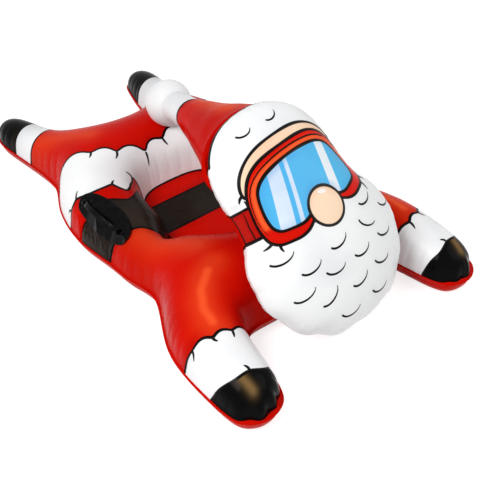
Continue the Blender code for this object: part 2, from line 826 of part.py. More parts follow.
def outline_piece(name, outline, low, high, frame, material):
    """Flat outline in the frame's XY plane, thickened from the low to the high Z."""
    curve = bpy.data.curves.new(name, "CURVE")
    curve.dimensions = "2D"
    curve.fill_mode = "BOTH"
    curve.extrude = (high - low) / 2
    spline = curve.splines.new("POLY")
    spline.points.add(len(outline) - 1)
    for point, (x, y) in zip(spline.points, outline):
        point.co = (x, y, 0, 1)
    spline.use_cyclic_u = True
    drawn = bpy.data.objects.new(name, curve)
    bm = bmesh.new()
    bm.from_mesh(drawn.to_mesh())
    drawn.to_mesh_clear()
    bpy.data.objects.remove(drawn)
    bmesh.ops.remove_doubles(bm, verts=bm.verts[:], dist=weld_distance)
    bmesh.ops.recalc_face_normals(bm, faces=bm.faces[:])
    bm.transform(Matrix.Translation((0, 0, (high + low) / 2)))
    piece = finish_mesh(name, bm, material)
    piece.matrix_world = frame
    return piece


def tree_of(piece):
    return BVHTree.FromPolygons([v.co for v in piece.data.vertices], [p.vertices for p in piece.data.polygons])


def pad_frame(side, tree):
    """Frame on a flank: X runs along the pad, Z leaves it, and the origin is on the pad's top."""
    lean = math.radians(pad_lean)
    out = Vector((side * math.cos(lean), 0, math.sin(lean)))
    middle = Vector((side * pad_side, pad_place, pad_height)) + out * ray_start
    ends = [tree.ray_cast(middle + Vector((0, way * ear_spacing / 2, 0)), -out)[0] for way in (-1, 1)]
    along = (ends[1] - ends[0]).normalized()
    out = (out - along * out.dot(along)).normalized()
    frame = Matrix((along, out.cross(along), out)).transposed().to_4x4()
    frame.translation = (ends[0] + ends[1]) / 2
    return frame


def height_over(tree, frame, along):
    start = frame @ Vector((along, 0, ray_start))
    out = frame.to_3x3().col[2]
    return (tree.ray_cast(start, -out)[0] - frame.translation).dot(out)


def make_handle(name, side):
    outside = cutters.objects["pad_outside"]
    tree = tree_of(outside)
    frame = pad_frame(side, tree)
    heights = [height_over(tree, frame, ear_spacing / 2 * k / 4) for k in range(-4, 5)]
    axis = max(heights) + axis_rise

    oval = rounded_oblong(pad_length, pad_width, 0, zone_step, pad_corner_share)
    pad = outline_piece(name + "_handle_pad", oval, -pad_reach, ray_start / 2, frame, matte_black)
    combine(pad, outside, "INTERSECT")
    combine(pad, cutters.objects["body_clearance"], "DIFFERENCE")
    for end, way in (("front", -1), ("rear", 1)):
        low = (heights[0] if way < 0 else heights[-1]) - pad_thickness / 2
        ear = outline_piece(
            name + "_ear_" + end, ear_outline(low - axis), -ear_length / 2, ear_length / 2,
            frame @ Matrix.Translation((way * ear_spacing / 2, 0, axis)) @ upright, matte_black,
        )
        combine(pad, as_cutter(ear), "UNION")
    hinge = frame @ Matrix.Translation((0, 0, axis))
    bore = rod(name + "_bore", pin_radius + pin_clearance, ear_spacing, hinge)
    combine(pad, as_cutter(bore), "DIFFERENCE")
    make_grip(name + "_handle_grip", hinge)


def ear_outline(low):
    """Ear seen along the pin: a round top over the axis and straight sides down to the pad."""
    half = ear_width / 2
    turns = [math.pi * k / (round_sides // 2) for k in range(round_sides // 2 + 1)]
    top = [(half * math.cos(a), ear_top * math.sin(a)) for a in turns]
    return top + [(-half, low), (half, low)]


def rod(name, radius, length, frame):
    bm = bmesh.new()
    bmesh.ops.create_cone(
        bm, cap_ends=True, segments=round_sides, radius1=radius, radius2=radius, depth=length + 2 * ear_length
    )
    bm.transform(Matrix.Rotation(math.pi / 2, 4, "Y"))
    piece = finish_mesh(name, bm, matte_black)
    piece.matrix_world = frame
    return piece


def make_grip(name, frame):
    """Arched strap between the ears, with a pin at each end on the hinge line."""
    half = (ear_spacing - ear_length) / 2 - pin_clearance
    bm = bmesh.new()
    rings = []
    for index in range(grip_rings):
        share = -math.cos(math.pi * index / (grip_rings - 1))
        rise = grip_rise * (1 - abs(share) ** grip_flat_share)
        slope = math.copysign(abs(share) ** (grip_flat_share - 1), share)
        lean = math.atan2(-grip_rise * grip_flat_share * slope, half)
        ring = []
        for k in range(round_sides // 2):
            turn = 2 * math.pi * k / (round_sides // 2)
            y = grip_width / 2 * math.copysign(abs(math.cos(turn)) ** grip_corner_share, math.cos(turn))
            z = grip_thickness / 2 * math.copysign(abs(math.sin(turn)) ** grip_corner_share, math.sin(turn))
            ends = 0 if index in (0, grip_rings - 1) else 1
            ring.append(bm.verts.new((share * half - z * math.sin(lean) * ends, y, rise + z)))
        rings.append(ring)
    close_rings(bm, rings)
    grip = finish_mesh(name, bm, matte_black)
    grip.matrix_world = frame
    for end, way in (("front", -1), ("rear", 1)):
        middle = Matrix.Translation((way * (half + pin_length / 2 - pin_root), 0, 0))
        pin = rod(name + "_pin_" + end, pin_radius, pin_length + pin_root - 2 * ear_length, frame @ middle)
        combine(grip, as_cutter(pin), "UNION")


# Air valves


def valve_frame(tree, point, out, hinge_way):
    """Frame on a round surface: its XY plane lies just under the surface all over the recess."""
    across = out.orthogonal().normalized()
    other = out.cross(across)
    hits = []
    for k in range(round_sides // 2):
        turn = 4 * math.pi * k / round_sides
        start = point + recess_radius * (across * math.cos(turn) + other * math.sin(turn)) + out * ray_start
        hits.append(tree.ray_cast(start, -out)[0])
    middle = sum(hits, Vector()) / len(hits)
    spokes = [hit - middle for hit in hits]
    out = sum((a.cross(b) for a, b in zip(spokes, spokes[1:] + spokes[:1])), Vector()).normalized()
    lowest = min((hit - middle).dot(out) for hit in hits)
    along = (hinge_way - out * out.dot(hinge_way)).normalized()
    frame = Matrix((along, out.cross(along), out)).transposed().to_4x4()
    frame.translation = middle + out * (lowest - recess_margin)
    return frame


def make_valve(name, home, frame):
    """Flange in a round recess, stem in a well behind it, and a plug on a strap from the stem's lip."""
    recess = turned_piece(
        name + "_recess",
        [(0, -well_depth), (well_radius, -well_depth), (well_radius, 0), (recess_radius, 0),
         (recess_radius, ray_start / 2), (0, ray_start / 2)],
        frame, red,
    )
    combine(sled.objects[home], as_cutter(recess), "DIFFERENCE")
    top = seat_gap + flange_thickness
    turned_piece(
        name + "_flange",
        [(flange_hole, seat_gap), (flange_radius, seat_gap), (flange_radius, top), (flange_hole, top)],
        frame, white,
    )
    stem = turned_piece(
        name + "_stem",
        [(stem_bore, -stem_length), (stem_radius, -stem_length), (stem_radius, -stop_top - stop_thickness),
         (stop_radius, -stop_top - stop_thickness), (stop_radius, -stop_top), (stem_radius, -stop_top),
         (stem_radius, lip_low), (lip_radius, lip_low), (lip_radius, lip_top), (stem_bore, lip_top)],
        frame, white,
    )
    tab = box_piece(
        name + "_tab", (stem_radius, -strap_width / 2, lip_low),
        (strap_reach - seat_gap, strap_width / 2, lip_top), frame, white,
    )
    combine(stem, as_cutter(tab), "UNION")
    hinge = frame @ Matrix.Translation((strap_reach, 0, lip_top + seat_gap / 2))
    low = seat_gap / 2
    plug = turned_piece(
        name + "_plug",
        [(0, -nub_length), (nub_tip_radius, -nub_length), (nub_radius, low), (plug_radius, low),
         (plug_radius, low + plug_thickness), (0, low + plug_thickness)],
        hinge, white,
    )
    plug.data.transform(Matrix.Translation((-strap_reach, 0, 0)))
    strap = box_piece(
        name + "_strap", (-strap_reach / 2, -strap_width / 2, low), (0, strap_width / 2, low + plug_thickness),
        hinge, white,
    )
    combine(plug, as_cutter(strap), "UNION")


def make_valves():
    lean = math.radians(body_valve_lean)
    out = Vector((math.cos(lean), 0, math.sin(lean)))
    point = Vector((pad_side, body_valve_place, body_valve_height))
    tree = tree_of(cutters.objects["body_clearance"])
    make_valve("body_valve", "jacket", valve_frame(tree, point, out, Vector((0, 0, 1))))
    head = head_frame()
    point = head @ Vector((head_valve_side_share * head_width / 2, head_valve_place_share * head_length, 0))
    tree = tree_of(cutters.objects["nape_clearance"])
    across, _, ahead = head.to_3x3().col
    make_valve("head_valve", "head_back", valve_frame(tree, point, -ahead, across))


remove_old_objects()
sled = bpy.data.collections.new("snow_sled")
cutters = bpy.data.collections.new("cutters")
for group in (sled, cutters):
    bpy.context.scene.collection.children.link(group)
upright = Matrix(((0, 0, 1, 0), (1, 0, 0, 0), (0, 1, 0, 0), (0, 0, 0, 1)))

red = make_material("red_vinyl", (0.70, 0.02, 0.01), 0.3)
white = make_material("white_vinyl", (0.85, 0.85, 0.85), 0.35)
peach = make_material("peach_vinyl", (0.90, 0.66, 0.47), 0.35)
black = make_material("black_vinyl", (0.012, 0.010, 0.009), 0.25)
brown = make_material("dark_brown_vinyl", (0.022, 0.015, 0.011), 0.3)
blue = make_material("blue_vinyl", (0.09, 0.42, 0.75), 0.25)
matte_black = make_material("matte_black_plastic", (0.015, 0.015, 0.015), 0.5)

make_base()
make_body()
make_head()
make_tail()
for name, side in (("right", -1), ("left", 1)):
    make_handle(name, side)
make_valves()
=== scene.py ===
import json
import math
import bmesh
import bpy
import numpy as np
from mathutils import Matrix, Vector, kdtree, noise
from mathutils.bvhtree import BVHTree
from mathutils.geometry import delaunay_2d_cdt


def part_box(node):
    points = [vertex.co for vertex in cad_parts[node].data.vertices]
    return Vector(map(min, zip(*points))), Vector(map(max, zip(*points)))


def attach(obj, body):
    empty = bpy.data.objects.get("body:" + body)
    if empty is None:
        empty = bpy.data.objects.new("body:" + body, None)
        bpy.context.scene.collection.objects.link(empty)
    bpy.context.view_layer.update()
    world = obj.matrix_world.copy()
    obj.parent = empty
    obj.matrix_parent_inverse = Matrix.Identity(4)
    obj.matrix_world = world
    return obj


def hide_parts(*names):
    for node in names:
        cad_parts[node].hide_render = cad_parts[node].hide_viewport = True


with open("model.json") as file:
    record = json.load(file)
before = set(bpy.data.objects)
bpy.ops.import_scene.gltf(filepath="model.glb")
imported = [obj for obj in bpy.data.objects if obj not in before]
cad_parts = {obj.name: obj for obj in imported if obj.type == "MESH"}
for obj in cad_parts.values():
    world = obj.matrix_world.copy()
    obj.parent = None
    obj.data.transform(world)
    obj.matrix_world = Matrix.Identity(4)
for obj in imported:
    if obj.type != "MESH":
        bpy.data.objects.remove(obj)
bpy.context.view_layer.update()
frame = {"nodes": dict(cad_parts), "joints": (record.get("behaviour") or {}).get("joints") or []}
mm = 0.001
scene = bpy.context.scene

# Nodes of the printed body sheet, and the colour that each one is printed in
bodyZones = {
    "jacket": "red", "trousers": "red", "right_jacket_skirt": "red", "left_jacket_skirt": "red",
    "right_belt_side": "belt", "left_belt_side": "belt", "jacket_hem": "white",
    "right_cuff": "white", "left_cuff": "white", "right_mitt": "black", "left_mitt": "black",
    "right_boot_cuff": "white", "left_boot_cuff": "white", "right_boot": "black", "left_boot": "black",
    "deck_front": "red", "deck_belt": "belt", "deck_rear": "red",
}
headZones = {
    "cap_band": "white", "collar": "white", "brow": "peach", "nose": "nose", "goggle_lens": "lens",
    "goggle_frame": "frame", "right_goggle_strap": "strap", "left_goggle_strap": "strap",
}

# The body's air form: the same film and gains as the solids, on a finer mesh
body = {
    "gridStep": 25 * mm,
    "planLevels": 2,
    "rim": 1.2 * mm,
    "tubeLimit": 350 * mm,
    "tubeGain": 1.42,
    "keelRound": 30 * mm,
    "weldMargin": 4.5 * mm,
    "puckerDepth": 2.8 * mm,
    "puckerReach": 30 * mm,
    "puckerPitch": 36 * mm,
    "deckRise": 3 * mm,
    "swell": 1.6 * mm,
    "deckRipple": 1.0 * mm,
    "bottomStep": 40 * mm,
    "cuffLobe": 26 * mm,
    "steepest": 7,
}

head = {
    "gridStep": 24 * mm,
    "planLevels": 2,
    "rim": 1.2 * mm,
    "faceGain": 0.62,
    "napeGain": 0.60,
    "tilt": 46.5,
    "lean": 8.0,
    "leanPivot": 240 * mm,
    "chinPlace": -660 * mm,
    "chinHeight": 50 * mm,
    "puckerDepth": 2.4 * mm,
    "puckerReach": 26 * mm,
    "puckerPitch": 30 * mm,
    "seamGap": 0.15 * mm,
    "swell": 1.5 * mm,
    "restGap": 0.8 * mm,
    "napeBand": 30 * mm,
    "napeLobe": 9 * mm,
    "napeLobePitch": 74 * mm,
    "tailPlace": 532 * mm,
    "strapReach": (338 * mm, 414 * mm),
    "strapBlend": 14 * mm,
    "tailBlend": 40 * mm,
    "steepest": 7,
}

ink = {
    "borderHalf": 3.7 * mm,
    "faceHalf": 3.9 * mm,
    "seamHalf": 7.0 * mm,
    "tailEnd": 12 * mm,
    "strokeHalf": 2.8 * mm,
    "step": 1.5 * mm,
    "soft": 0.5 * mm,
    "fineReach": (7 * mm, 3.5 * mm),
    "fineEdge": 2.2 * mm,
    "taper": 0.6,
}


# Flat loops and meshes


def flatLoops(name, toFlat, level):
    # closed loops round the faces of a node that lie at the level
    mesh = frame["nodes"][name].data
    places = [toFlat @ v.co for v in mesh.vertices]
    seen = {}
    for face in mesh.polygons:
        corners = [places[i] for i in face.vertices]
        if max(abs(p.z - level) for p in corners) < 0.1 * mm:
            keys = [(round(p.x, 5), round(p.y, 5)) for p in corners]
            for a, b in zip(keys, keys[1:] + keys[:1]):
                seen[(a, b)] = True
    after = {a: b for a, b in seen if (b, a) not in seen}
    loops = []
    while after:
        first = next(iter(after))
        loop = [first]
        point = after.pop(first)
        while point != first and point in after:
            loop.append(point)
            point = after.pop(point)
        loops.append(np.array(loop))
    return loops


def inside(points, loops):
    x, y = points[:, 0], points[:, 1]
    result = np.zeros(len(points), bool)
    for loop in loops:
        for (x1, y1), (x2, y2) in zip(loop, np.roll(loop, -1, axis=0)):
            if y1 != y2:
                crosses = (y1 > y) != (y2 > y)
                result ^= crosses & (x < (x2 - x1) * (y - y1) / (y2 - y1) + x1)
    return result


def joinedLoops(zones, gap):
    # the neighbours' borders lie a hair apart: points that nearly meet become one
    points = np.concatenate([loop for loops in zones.values() for loop in loops])
    tree = kdtree.KDTree(len(points))
    for i, p in enumerate(points):
        tree.insert((*p, 0), i)
    tree.balance()
    owner = np.full(len(points), -1)
    merged = []
    for i, p in enumerate(points):
        if owner[i] < 0:
            near = [j for _, j, _ in tree.find_range((*p, 0), gap) if owner[j] < 0]
            owner[near] = len(merged)
            merged.append(points[near].mean(axis=0))
    merged = np.array(merged)
    edges, start = set(), 0
    for loops in zones.values():
        for loop in loops:
            own = owner[start:start + len(loop)]
            start += len(loop)
            for a, b in zip(own, np.roll(own, -1)):
                if a != b:
                    edges.update(splitEdge(merged, a, b, gap))
    return merged, sorted(edges)


def splitEdge(points, a, b, gap):
    along = points[b] - points[a]
    share = (points - points[a]) @ along / (along @ along)
    off = np.linalg.norm(points - points[a] - share[:, None] * along, axis=1)
    stops = [i for i in np.flatnonzero((off < gap) & (share > 0) & (share < 1)) if i not in (a, b)]
    chain = [a, *sorted(stops, key=lambda i: share[i]), b]
    return [(min(p, q), max(p, q)) for p, q in zip(chain, chain[1:])]


def orderedEdges(edges):
    # one path of point numbers along each closed chain of edges
    after = {}
    for a, b in edges:
        after.setdefault(a, []).append(b)
        after.setdefault(b, []).append(a)
    paths, seen = [], set()
    for first in sorted(after):
        path, point = [], first
        while point is not None and point not in seen:
            seen.add(point)
            path.append(point)
            point = next((p for p in after[point] if p not in seen), None)
        if len(path) > 2:
            paths.append(path)
    return paths


rowGaps = (5 * mm, 13 * mm, 25 * mm, 40 * mm)  # rows of the flat mesh beside each outline


def rowsBeside(points, path, covered):
    # rows of points beside an outline, so that the steep edge of the film has an even mesh
    line = points[path]
    along = np.roll(line, -1, axis=0) - np.roll(line, 1, axis=0)
    out = np.stack([along[:, 1], -along[:, 0]], 1) / np.linalg.norm(along, axis=1)[:, None]
    if not covered(line + out * 2 * mm).mean() > 0.5:
        out = -out
    rows = []
    for distance in rowGaps:
        for p in line + out * distance:
            if np.min(np.linalg.norm(line - p, axis=1)) > distance * 0.86:
                rows.append(p)
    return rows


def planMesh(zones, step, wells=()):
    # triangles over every zone, and the zone of each one
    points, edges = joinedLoops(zones, 0.8 * mm)
    every = [loop for loops in zones.values() for loop in loops]

    def covered(spots):
        result = np.zeros(len(spots), bool)
        for loops in zones.values():
            result |= inside(spots, loops)
        return result

    def outsideWells(spots):
        result = covered(spots)
        for name in wells:
            result &= ~inside(spots, zones[name])
        return result

    # outline edges border on one zone only; a well's outline borders on one well zone only
    middles = np.array([(points[a] + points[b]) / 2 for a, b in edges])
    normals = np.array([(points[b] - points[a])[::-1] * (1, -1) for a, b in edges])
    normals = normals / np.linalg.norm(normals, axis=1)[:, None] * mm
    rims = []
    for test in (covered, outsideWells)[:1 + bool(wells)]:
        border = test(middles + normals) != test(middles - normals)
        done = {point for path, _ in rims for point in path}
        for path in orderedEdges([e for e, keep in zip(edges, border) if keep]):
            if not done & set(path):
                rims.append((path, test))
    rows = []
    for path, test in rims:
        rows += rowsBeside(points, path, test)
    low, high = points.min(axis=0), points.max(axis=0)
    grid = []
    for row in range(int((high[1] - low[1]) / (step * 0.866)) + 1):
        for column in range(int((high[0] - low[0]) / step) + 1):
            grid.append((low[0] + (column + row % 2 / 2) * step, low[1] + row * step * 0.866))
    grid = np.array(grid)
    grid = grid[covered(grid)]

    def tooNear(spots, others, reach):
        tree = kdtree.KDTree(len(others))
        for i, p in enumerate(others):
            tree.insert((*p, 0), i)
        tree.balance()
        return np.array([tree.find((*p, 0))[2] < reach for p in spots])

    fine = np.concatenate([p + (q - p) * k / 4 for loop in every for p, q in zip(loop, np.roll(loop, -1, axis=0))
                           for k in range(4)]).reshape(-1, 2)
    rows = np.array(rows)
    rows = rows[~tooNear(rows, fine, min(rowGaps) * 0.8)]
    kept = []
    for p in rows:
        if not kept or np.min(np.linalg.norm(np.array(kept) - p, axis=1)) > min(rowGaps) * 0.9:
            kept.append(p)
    rows = np.array(kept)
    grid = grid[~tooNear(grid, np.concatenate([fine, rows]), step * 0.5)]
    corners = [Vector(p) for p in np.concatenate([points, rows, grid])]
    out = delaunay_2d_cdt(corners, edges, [], 0, 0.01 * mm)
    flat = np.array([tuple(v) for v in out[0]])
    faces = np.array([tuple(f) for f in out[2]])
    centres = flat[faces].mean(axis=1)
    zone = np.full(len(faces), -1)
    for index, loops in enumerate(zones.values()):
        zone[inside(centres, loops)] = index
    return flat, faces[zone >= 0], zone[zone >= 0]


def refined(flat, faces, zone, levels):
    # the borders become smooth curves as the flat mesh is subdivided
    mesh = bpy.data.meshes.new("plan")
    mesh.from_pydata([(*p, 0) for p in flat], [], faces.tolist())
    mesh.polygons.foreach_set("material_index", zone)
    bm = bmesh.new()
    bm.from_mesh(mesh)
    crease = bm.edges.layers.float.new("crease_edge")
    for e in bm.edges:
        if len(e.link_faces) == 2 and e.link_faces[0].material_index != e.link_faces[1].material_index:
            e[crease] = 1
    bm.to_mesh(mesh)
    bm.free()
    piece = bpy.data.objects.new("plan", mesh)
    scene.collection.objects.link(piece)
    divide = piece.modifiers.new("fine", "SUBSURF")
    divide.levels = levels
    made = applied(piece)
    bpy.data.objects.remove(piece)
    return made


def applied(piece):
    bpy.context.view_layer.update()
    made = bpy.data.meshes.new_from_object(piece.evaluated_get(bpy.context.evaluated_depsgraph_get()))
    return made


def film(points, triangles, pinned):
    # Poisson's equation by conjugate gradients: a film under even pressure
    corner = points[triangles]
    edge = np.roll(corner, -2, axis=1) - np.roll(corner, -1, axis=1)
    area = np.abs(edge[:, 0, 0] * edge[:, 1, 1] - edge[:, 0, 1] * edge[:, 1, 0]) / 2
    part = np.einsum("fik,fjk->fij", edge, edge) / (4 * np.maximum(area, 1e-12))[:, None, None]
    rows = np.repeat(triangles, 3, axis=1).ravel()
    columns = np.tile(triangles, (1, 3)).ravel()
    weights = part.reshape(len(triangles), 9).ravel()
    count = len(points)
    free = ~pinned

    def pull(x):
        return np.bincount(rows, weights * x[columns], minlength=count) * free

    load = np.bincount(triangles.ravel(), np.repeat(area / 3, 3), minlength=count) * free
    scale = np.bincount(rows, np.where(rows == columns, weights, 0), minlength=count)
    scale = np.where(scale > 0, scale, 1)
    x = np.zeros(count)
    rest = load.copy()
    way = rest / scale
    size = rest @ (rest / scale)
    for _ in range(2500):
        pulled = pull(way)
        step = size / (way @ pulled)
        x += step * way
        rest -= step * pulled
        new = rest @ (rest / scale)
        if new < 1e-14 * (load @ (load / scale)):
            break
        way = rest / scale + way * (new / size)
        size = new
    return np.sqrt(2 * np.maximum(x, 0))


def sloped(heights, room, steepest):
    # heights kept from rising more steeply than the film can beside its weld
    power = 5
    high, most = np.maximum(heights, 1e-6), np.maximum(room * steepest, 1e-6)
    return np.where(heights > 0, (high**-power + most**-power) ** (-1 / power), heights)


def meshArrays(mesh):
    points = np.empty(len(mesh.vertices) * 3)
    mesh.vertices.foreach_get("co", points)
    mesh.calc_loop_triangles()
    corners = np.empty(len(mesh.loop_triangles) * 3, int)
    mesh.loop_triangles.foreach_get("vertices", corners)
    owner = np.empty(len(mesh.loop_triangles), int)
    mesh.loop_triangles.foreach_get("polygon_index", owner)
    zone = np.empty(len(mesh.polygons), int)
    mesh.polygons.foreach_get("material_index", zone)
    return points.reshape(-1, 3), corners.reshape(-1, 3), zone[owner]


def seamPath(mesh):
    # points along the open border, in order, with the way travelled at each
    bm = bmesh.new()
    bm.from_mesh(mesh)
    after = {}
    for e in bm.edges:
        if e.is_boundary:
            a, b = e.verts
            after.setdefault(a.index, []).append(b.index)
            after.setdefault(b.index, []).append(a.index)
    co = {v.index: np.array(v.co[:2]) for v in bm.verts}
    bm.free()
    path, seen = [], set()
    for first in sorted(after):
        point = first
        while point is not None and point not in seen:
            seen.add(point)
            path.append((point, co[point]))
            point = next((p for p in after[point] if p not in seen), None)
    travel, way = 0.0, []
    for (_, p), (_, q) in zip(path, path[1:] + path[:1]):
        way.append(travel)
        travel += float(np.linalg.norm(q - p))
    return [i for i, _ in path], np.array([p for _, p in path]), np.array(way)


def nearestOn(points, path, way):
    # for each point: the nearest path point, the way travelled to its foot on the path, and how far off it is
    tree = kdtree.KDTree(len(path))
    for i, p in enumerate(path):
        tree.insert((*p, 0), i)
    tree.balance()
    near = np.array([tree.find((*p, 0))[1] for p in points])
    bestGap, bestWay = np.full(len(points), np.inf), np.zeros(len(points))
    for first in (near - 1, near):
        a = path[first]
        b = path[(first + 1) % len(path)]
        along = b - a
        size = np.maximum(np.linalg.norm(along, axis=1), 1e-9)
        share = np.clip(np.einsum("ij,ij->i", points - a, along) / size**2, 0, 1)
        gap = np.linalg.norm(points - a - share[:, None] * along, axis=1)
        better = gap < bestGap
        bestGap[better] = gap[better]
        bestWay[better] = (way[first] + share * size)[better]
    return near, bestWay, bestGap


def puckers(way, distance, values, seed):
    # folds that gather at the seam and die away from it
    sizes = []
    for t, d in zip(way, distance):
        drift = noise.noise((t / 0.11, seed, 0)) * 2.2
        wave = math.sin(2 * math.pi * t / values["puckerPitch"] + drift)
        strength = 0.45 + 0.75 * noise.noise((t / 0.16, seed + 5, 1))
        fold = max(0, wave) ** 1.5 * max(0, strength)
        near = math.exp(-((d / values["puckerReach"]) ** 2) * 2.2) * min(1, d / (4 * mm))
        sizes.append(values["puckerDepth"] * fold * near)
    return np.array(sizes)


def turned(values):
    # the head pillow's own frame: across, up the face, and out of the face
    tilt = math.radians(values["tilt"])
    across, upwards = Vector((1, 0, 0)), Vector((0, math.cos(tilt), math.sin(tilt)))
    made = Matrix((across, upwards, across.cross(upwards))).transposed().to_4x4()
    made.translation = (0, values["chinPlace"], values["chinHeight"])
    pivot = Matrix.Translation((0, values["leanPivot"], 0))
    return made @ pivot @ Matrix.Rotation(math.radians(values["lean"]), 4, "Z") @ pivot.inverted()


def loopsOf(names, toFlat, level):
    return {name: flatLoops(name, toFlat, level) for name in names}


def coloured(mesh, zones, slots):
    # each face takes the slot of its zone's colour
    zone = np.empty(len(mesh.polygons), int)
    mesh.polygons.foreach_get("material_index", zone)
    colours = np.array([slots.index(colour) for colour in zones.values()])
    mesh.polygons.foreach_set("material_index", colours[zone])
    return zone


def pieceOf(name, mesh, materials):
    mesh.name = name
    for material in materials:
        mesh.materials.append(material)
    mesh.shade_smooth()
    piece = bpy.data.objects.new(name, mesh)
    scene.collection.objects.link(piece)
    return piece


def placed(mesh, points):
    mesh.vertices.foreach_set("co", np.ascontiguousarray(points, dtype=float).ravel())
    mesh.update()


def normalsOf(mesh):
    normals = np.empty(len(mesh.vertices) * 3)
    mesh.vertex_normals.foreach_get("vector", normals)
    return normals.reshape(-1, 3)


def finer(mesh, levels):
    piece = bpy.data.objects.new("coarse", mesh)
    scene.collection.objects.link(piece)
    piece.modifiers.new("fine", "SUBSURF").levels = levels
    made = applied(piece)
    bpy.data.objects.remove(piece)
    return made


def closedBelow(mesh, drop):
    # the open border turns down and is closed with one flat face
    bm = bmesh.new()
    bm.from_mesh(mesh)
    border = [e for e in bm.edges if e.is_boundary]
    made = bmesh.ops.extrude_edge_only(bm, edges=border)["geom"]
    for vertex in [item for item in made if isinstance(item, bmesh.types.BMVert)]:
        vertex.co.z -= drop
    lower = [item for item in made if isinstance(item, bmesh.types.BMEdge) and item.is_boundary]
    bmesh.ops.holes_fill(bm, edges=lower, sides=0)
    bmesh.ops.recalc_face_normals(bm, faces=bm.faces[:])
    bm.to_mesh(mesh)
    bm.free()


def borderSamples(mesh, half, unprinted=None):
    # points along every edge between two print colours
    bm = bmesh.new()
    bm.from_mesh(mesh)
    samples = []
    for e in bm.edges:
        found = {face.material_index for face in e.link_faces}
        if len(found) == 2 and unprinted not in found:
            a, b = (np.array(v.co) for v in e.verts)
            parts = max(1, round(float(np.linalg.norm(b - a)) / ink["step"]))
            for part in range(parts):
                point = a + (b - a) * part / parts
                drift = 1 + 0.28 * noise.noise(Vector(point) * 14)
                samples.append((*point, half * drift))
    bm.free()
    return samples


def strokeSamples(strokes, toWorld, tree):
    # each stroke is a flat line with a width that runs out towards its end
    samples = []
    downwards = -(toWorld.to_3x3().col[2])
    for line, half in strokes:
        line = np.array(line)
        lengths = np.linalg.norm(np.diff(line, axis=0), axis=1)
        way = np.concatenate([[0], np.cumsum(lengths)])
        for t in np.arange(0, way[-1], ink["step"]):
            x, y = np.interp(t, way, line[:, 0]), np.interp(t, way, line[:, 1])
            hit = tree.ray_cast(toWorld @ Vector((x, y, 0.6)), downwards)[0]
            if hit:
                samples.append((*hit, half * (1 - ink["taper"] * (t / way[-1]) ** 2)))
    return samples


def stored(mesh, name, values):
    if name in mesh.attributes:
        mesh.attributes.remove(mesh.attributes[name])
    layer = mesh.attributes.new(name, "FLOAT", "POINT")
    layer.data.foreach_set("value", np.asarray(values, dtype=float))


def inked(mesh, samples):
    # distance from each point to the nearest ink line's edge, in metres, on a mesh split finer beside the lines
    tree = kdtree.KDTree(len(samples))
    for i, s in enumerate(samples):
        tree.insert(s[:3], i)
    tree.balance()

    def distances():
        found = [tree.find(v.co) for v in mesh.vertices]
        return np.array([distance - samples[i][3] for _, i, distance in found])

    for reach in ink["fineReach"]:
        near = distances() < reach
        bm = bmesh.new()
        bm.from_mesh(mesh)
        edges = [e for e in bm.edges if near[e.verts[0].index] and near[e.verts[1].index]]
        edges = [e for e in edges if e.calc_length() > ink["fineEdge"]]
        bmesh.ops.subdivide_edges(bm, edges=edges, cuts=1, use_grid_fill=True)
        bm.to_mesh(mesh)
        bm.free()
    stored(mesh, "ink", distances())


def softStreaks(points, streaks):
    # tone along soft lines, strength on a line and nothing away from it: the painted highlights, and the darkening of
    # the boot cuffs
    values = np.zeros(len(points))
    for line, width, strength in streaks:
        line = np.array(line)
        for a, b in zip(line, line[1:]):
            along = b - a
            share = np.clip((points - a) @ along / (along @ along), 0, 1)
            off = np.linalg.norm(points - a - share[:, None] * along, axis=1)
            values = np.maximum(values, strength * np.exp(-((off / width) ** 2)))
    return values


def tufts(loop, length, curl, seed):
    # a short curved stroke into the fleece from each notch of its edge
    x, y = loop[:, 0], loop[:, 1]
    if np.sum(x * np.roll(y, -1) - y * np.roll(x, -1)) < 0:
        loop = loop[::-1]
    strokes = []
    before, after = np.roll(loop, 1, axis=0), np.roll(loop, -1, axis=0)
    for i, p in enumerate(loop):
        a, b = p - before[i], after[i] - p
        turn = math.atan2(a[0] * b[1] - a[1] * b[0], a @ b)
        if turn < -0.5:
            along = a / np.linalg.norm(a) + b / np.linalg.norm(b)
            inwards = np.array((-along[1], along[0])) / np.linalg.norm(along)
            side = along / np.linalg.norm(along)
            drift = noise.noise((i * 0.37, seed, 0.5))
            reach = length * (0.8 + 0.6 * drift)
            bend = curl * (1 if drift > 0 else -1) * (0.6 + abs(drift))
            steps = np.linspace(0, 1, 7)[:, None]
            strokes.append((p + inwards * reach * steps + side * bend * steps**2, ink["borderHalf"]))
    return strokes


def locks(loops, pitch, row, size, seed):
    # staggered rows of shallow fleece arcs, spread inside the zone and clear of its edge
    every = np.concatenate(loops)
    low, high = every.min(axis=0), every.max(axis=0)
    strokes = []
    for line in range(int((high[1] - low[1]) / row) + 1):
        for column in range(int((high[0] - low[0]) / pitch) + 1):
            shift = noise.noise_vector((column * 0.71, line * 0.83, seed)) * size * 0.35
            x = low[0] + (column + 0.25 + line % 2 / 2) * pitch + shift.x
            y = low[1] + (line + 0.5) * row + shift.y
            lean = noise.noise((column * 0.9, line * 0.7, seed + 7)) * 0.9
            sweep = np.linspace(-1.25, 1.25, 11)
            arc = np.stack([np.sin(sweep), -0.62 * np.cos(sweep)], 1) * size / 2
            turn = np.array(((math.cos(lean), math.sin(lean)), (-math.sin(lean), math.cos(lean))))
            arc = arc @ turn + (x, y)
            if inside(arc, loops).all() and min(np.min(np.linalg.norm(every - p, axis=1)) for p in arc) > 13 * mm:
                strokes.append((arc, ink["strokeHalf"]))
    return strokes


# Vinyl print


def socket(group, name, kind, value=None, out=False):
    made = group.interface.new_socket(name=name, in_out="OUTPUT" if out else "INPUT", socket_type="NodeSocket" + kind)
    if value is not None:
        made.default_value = value
    return made


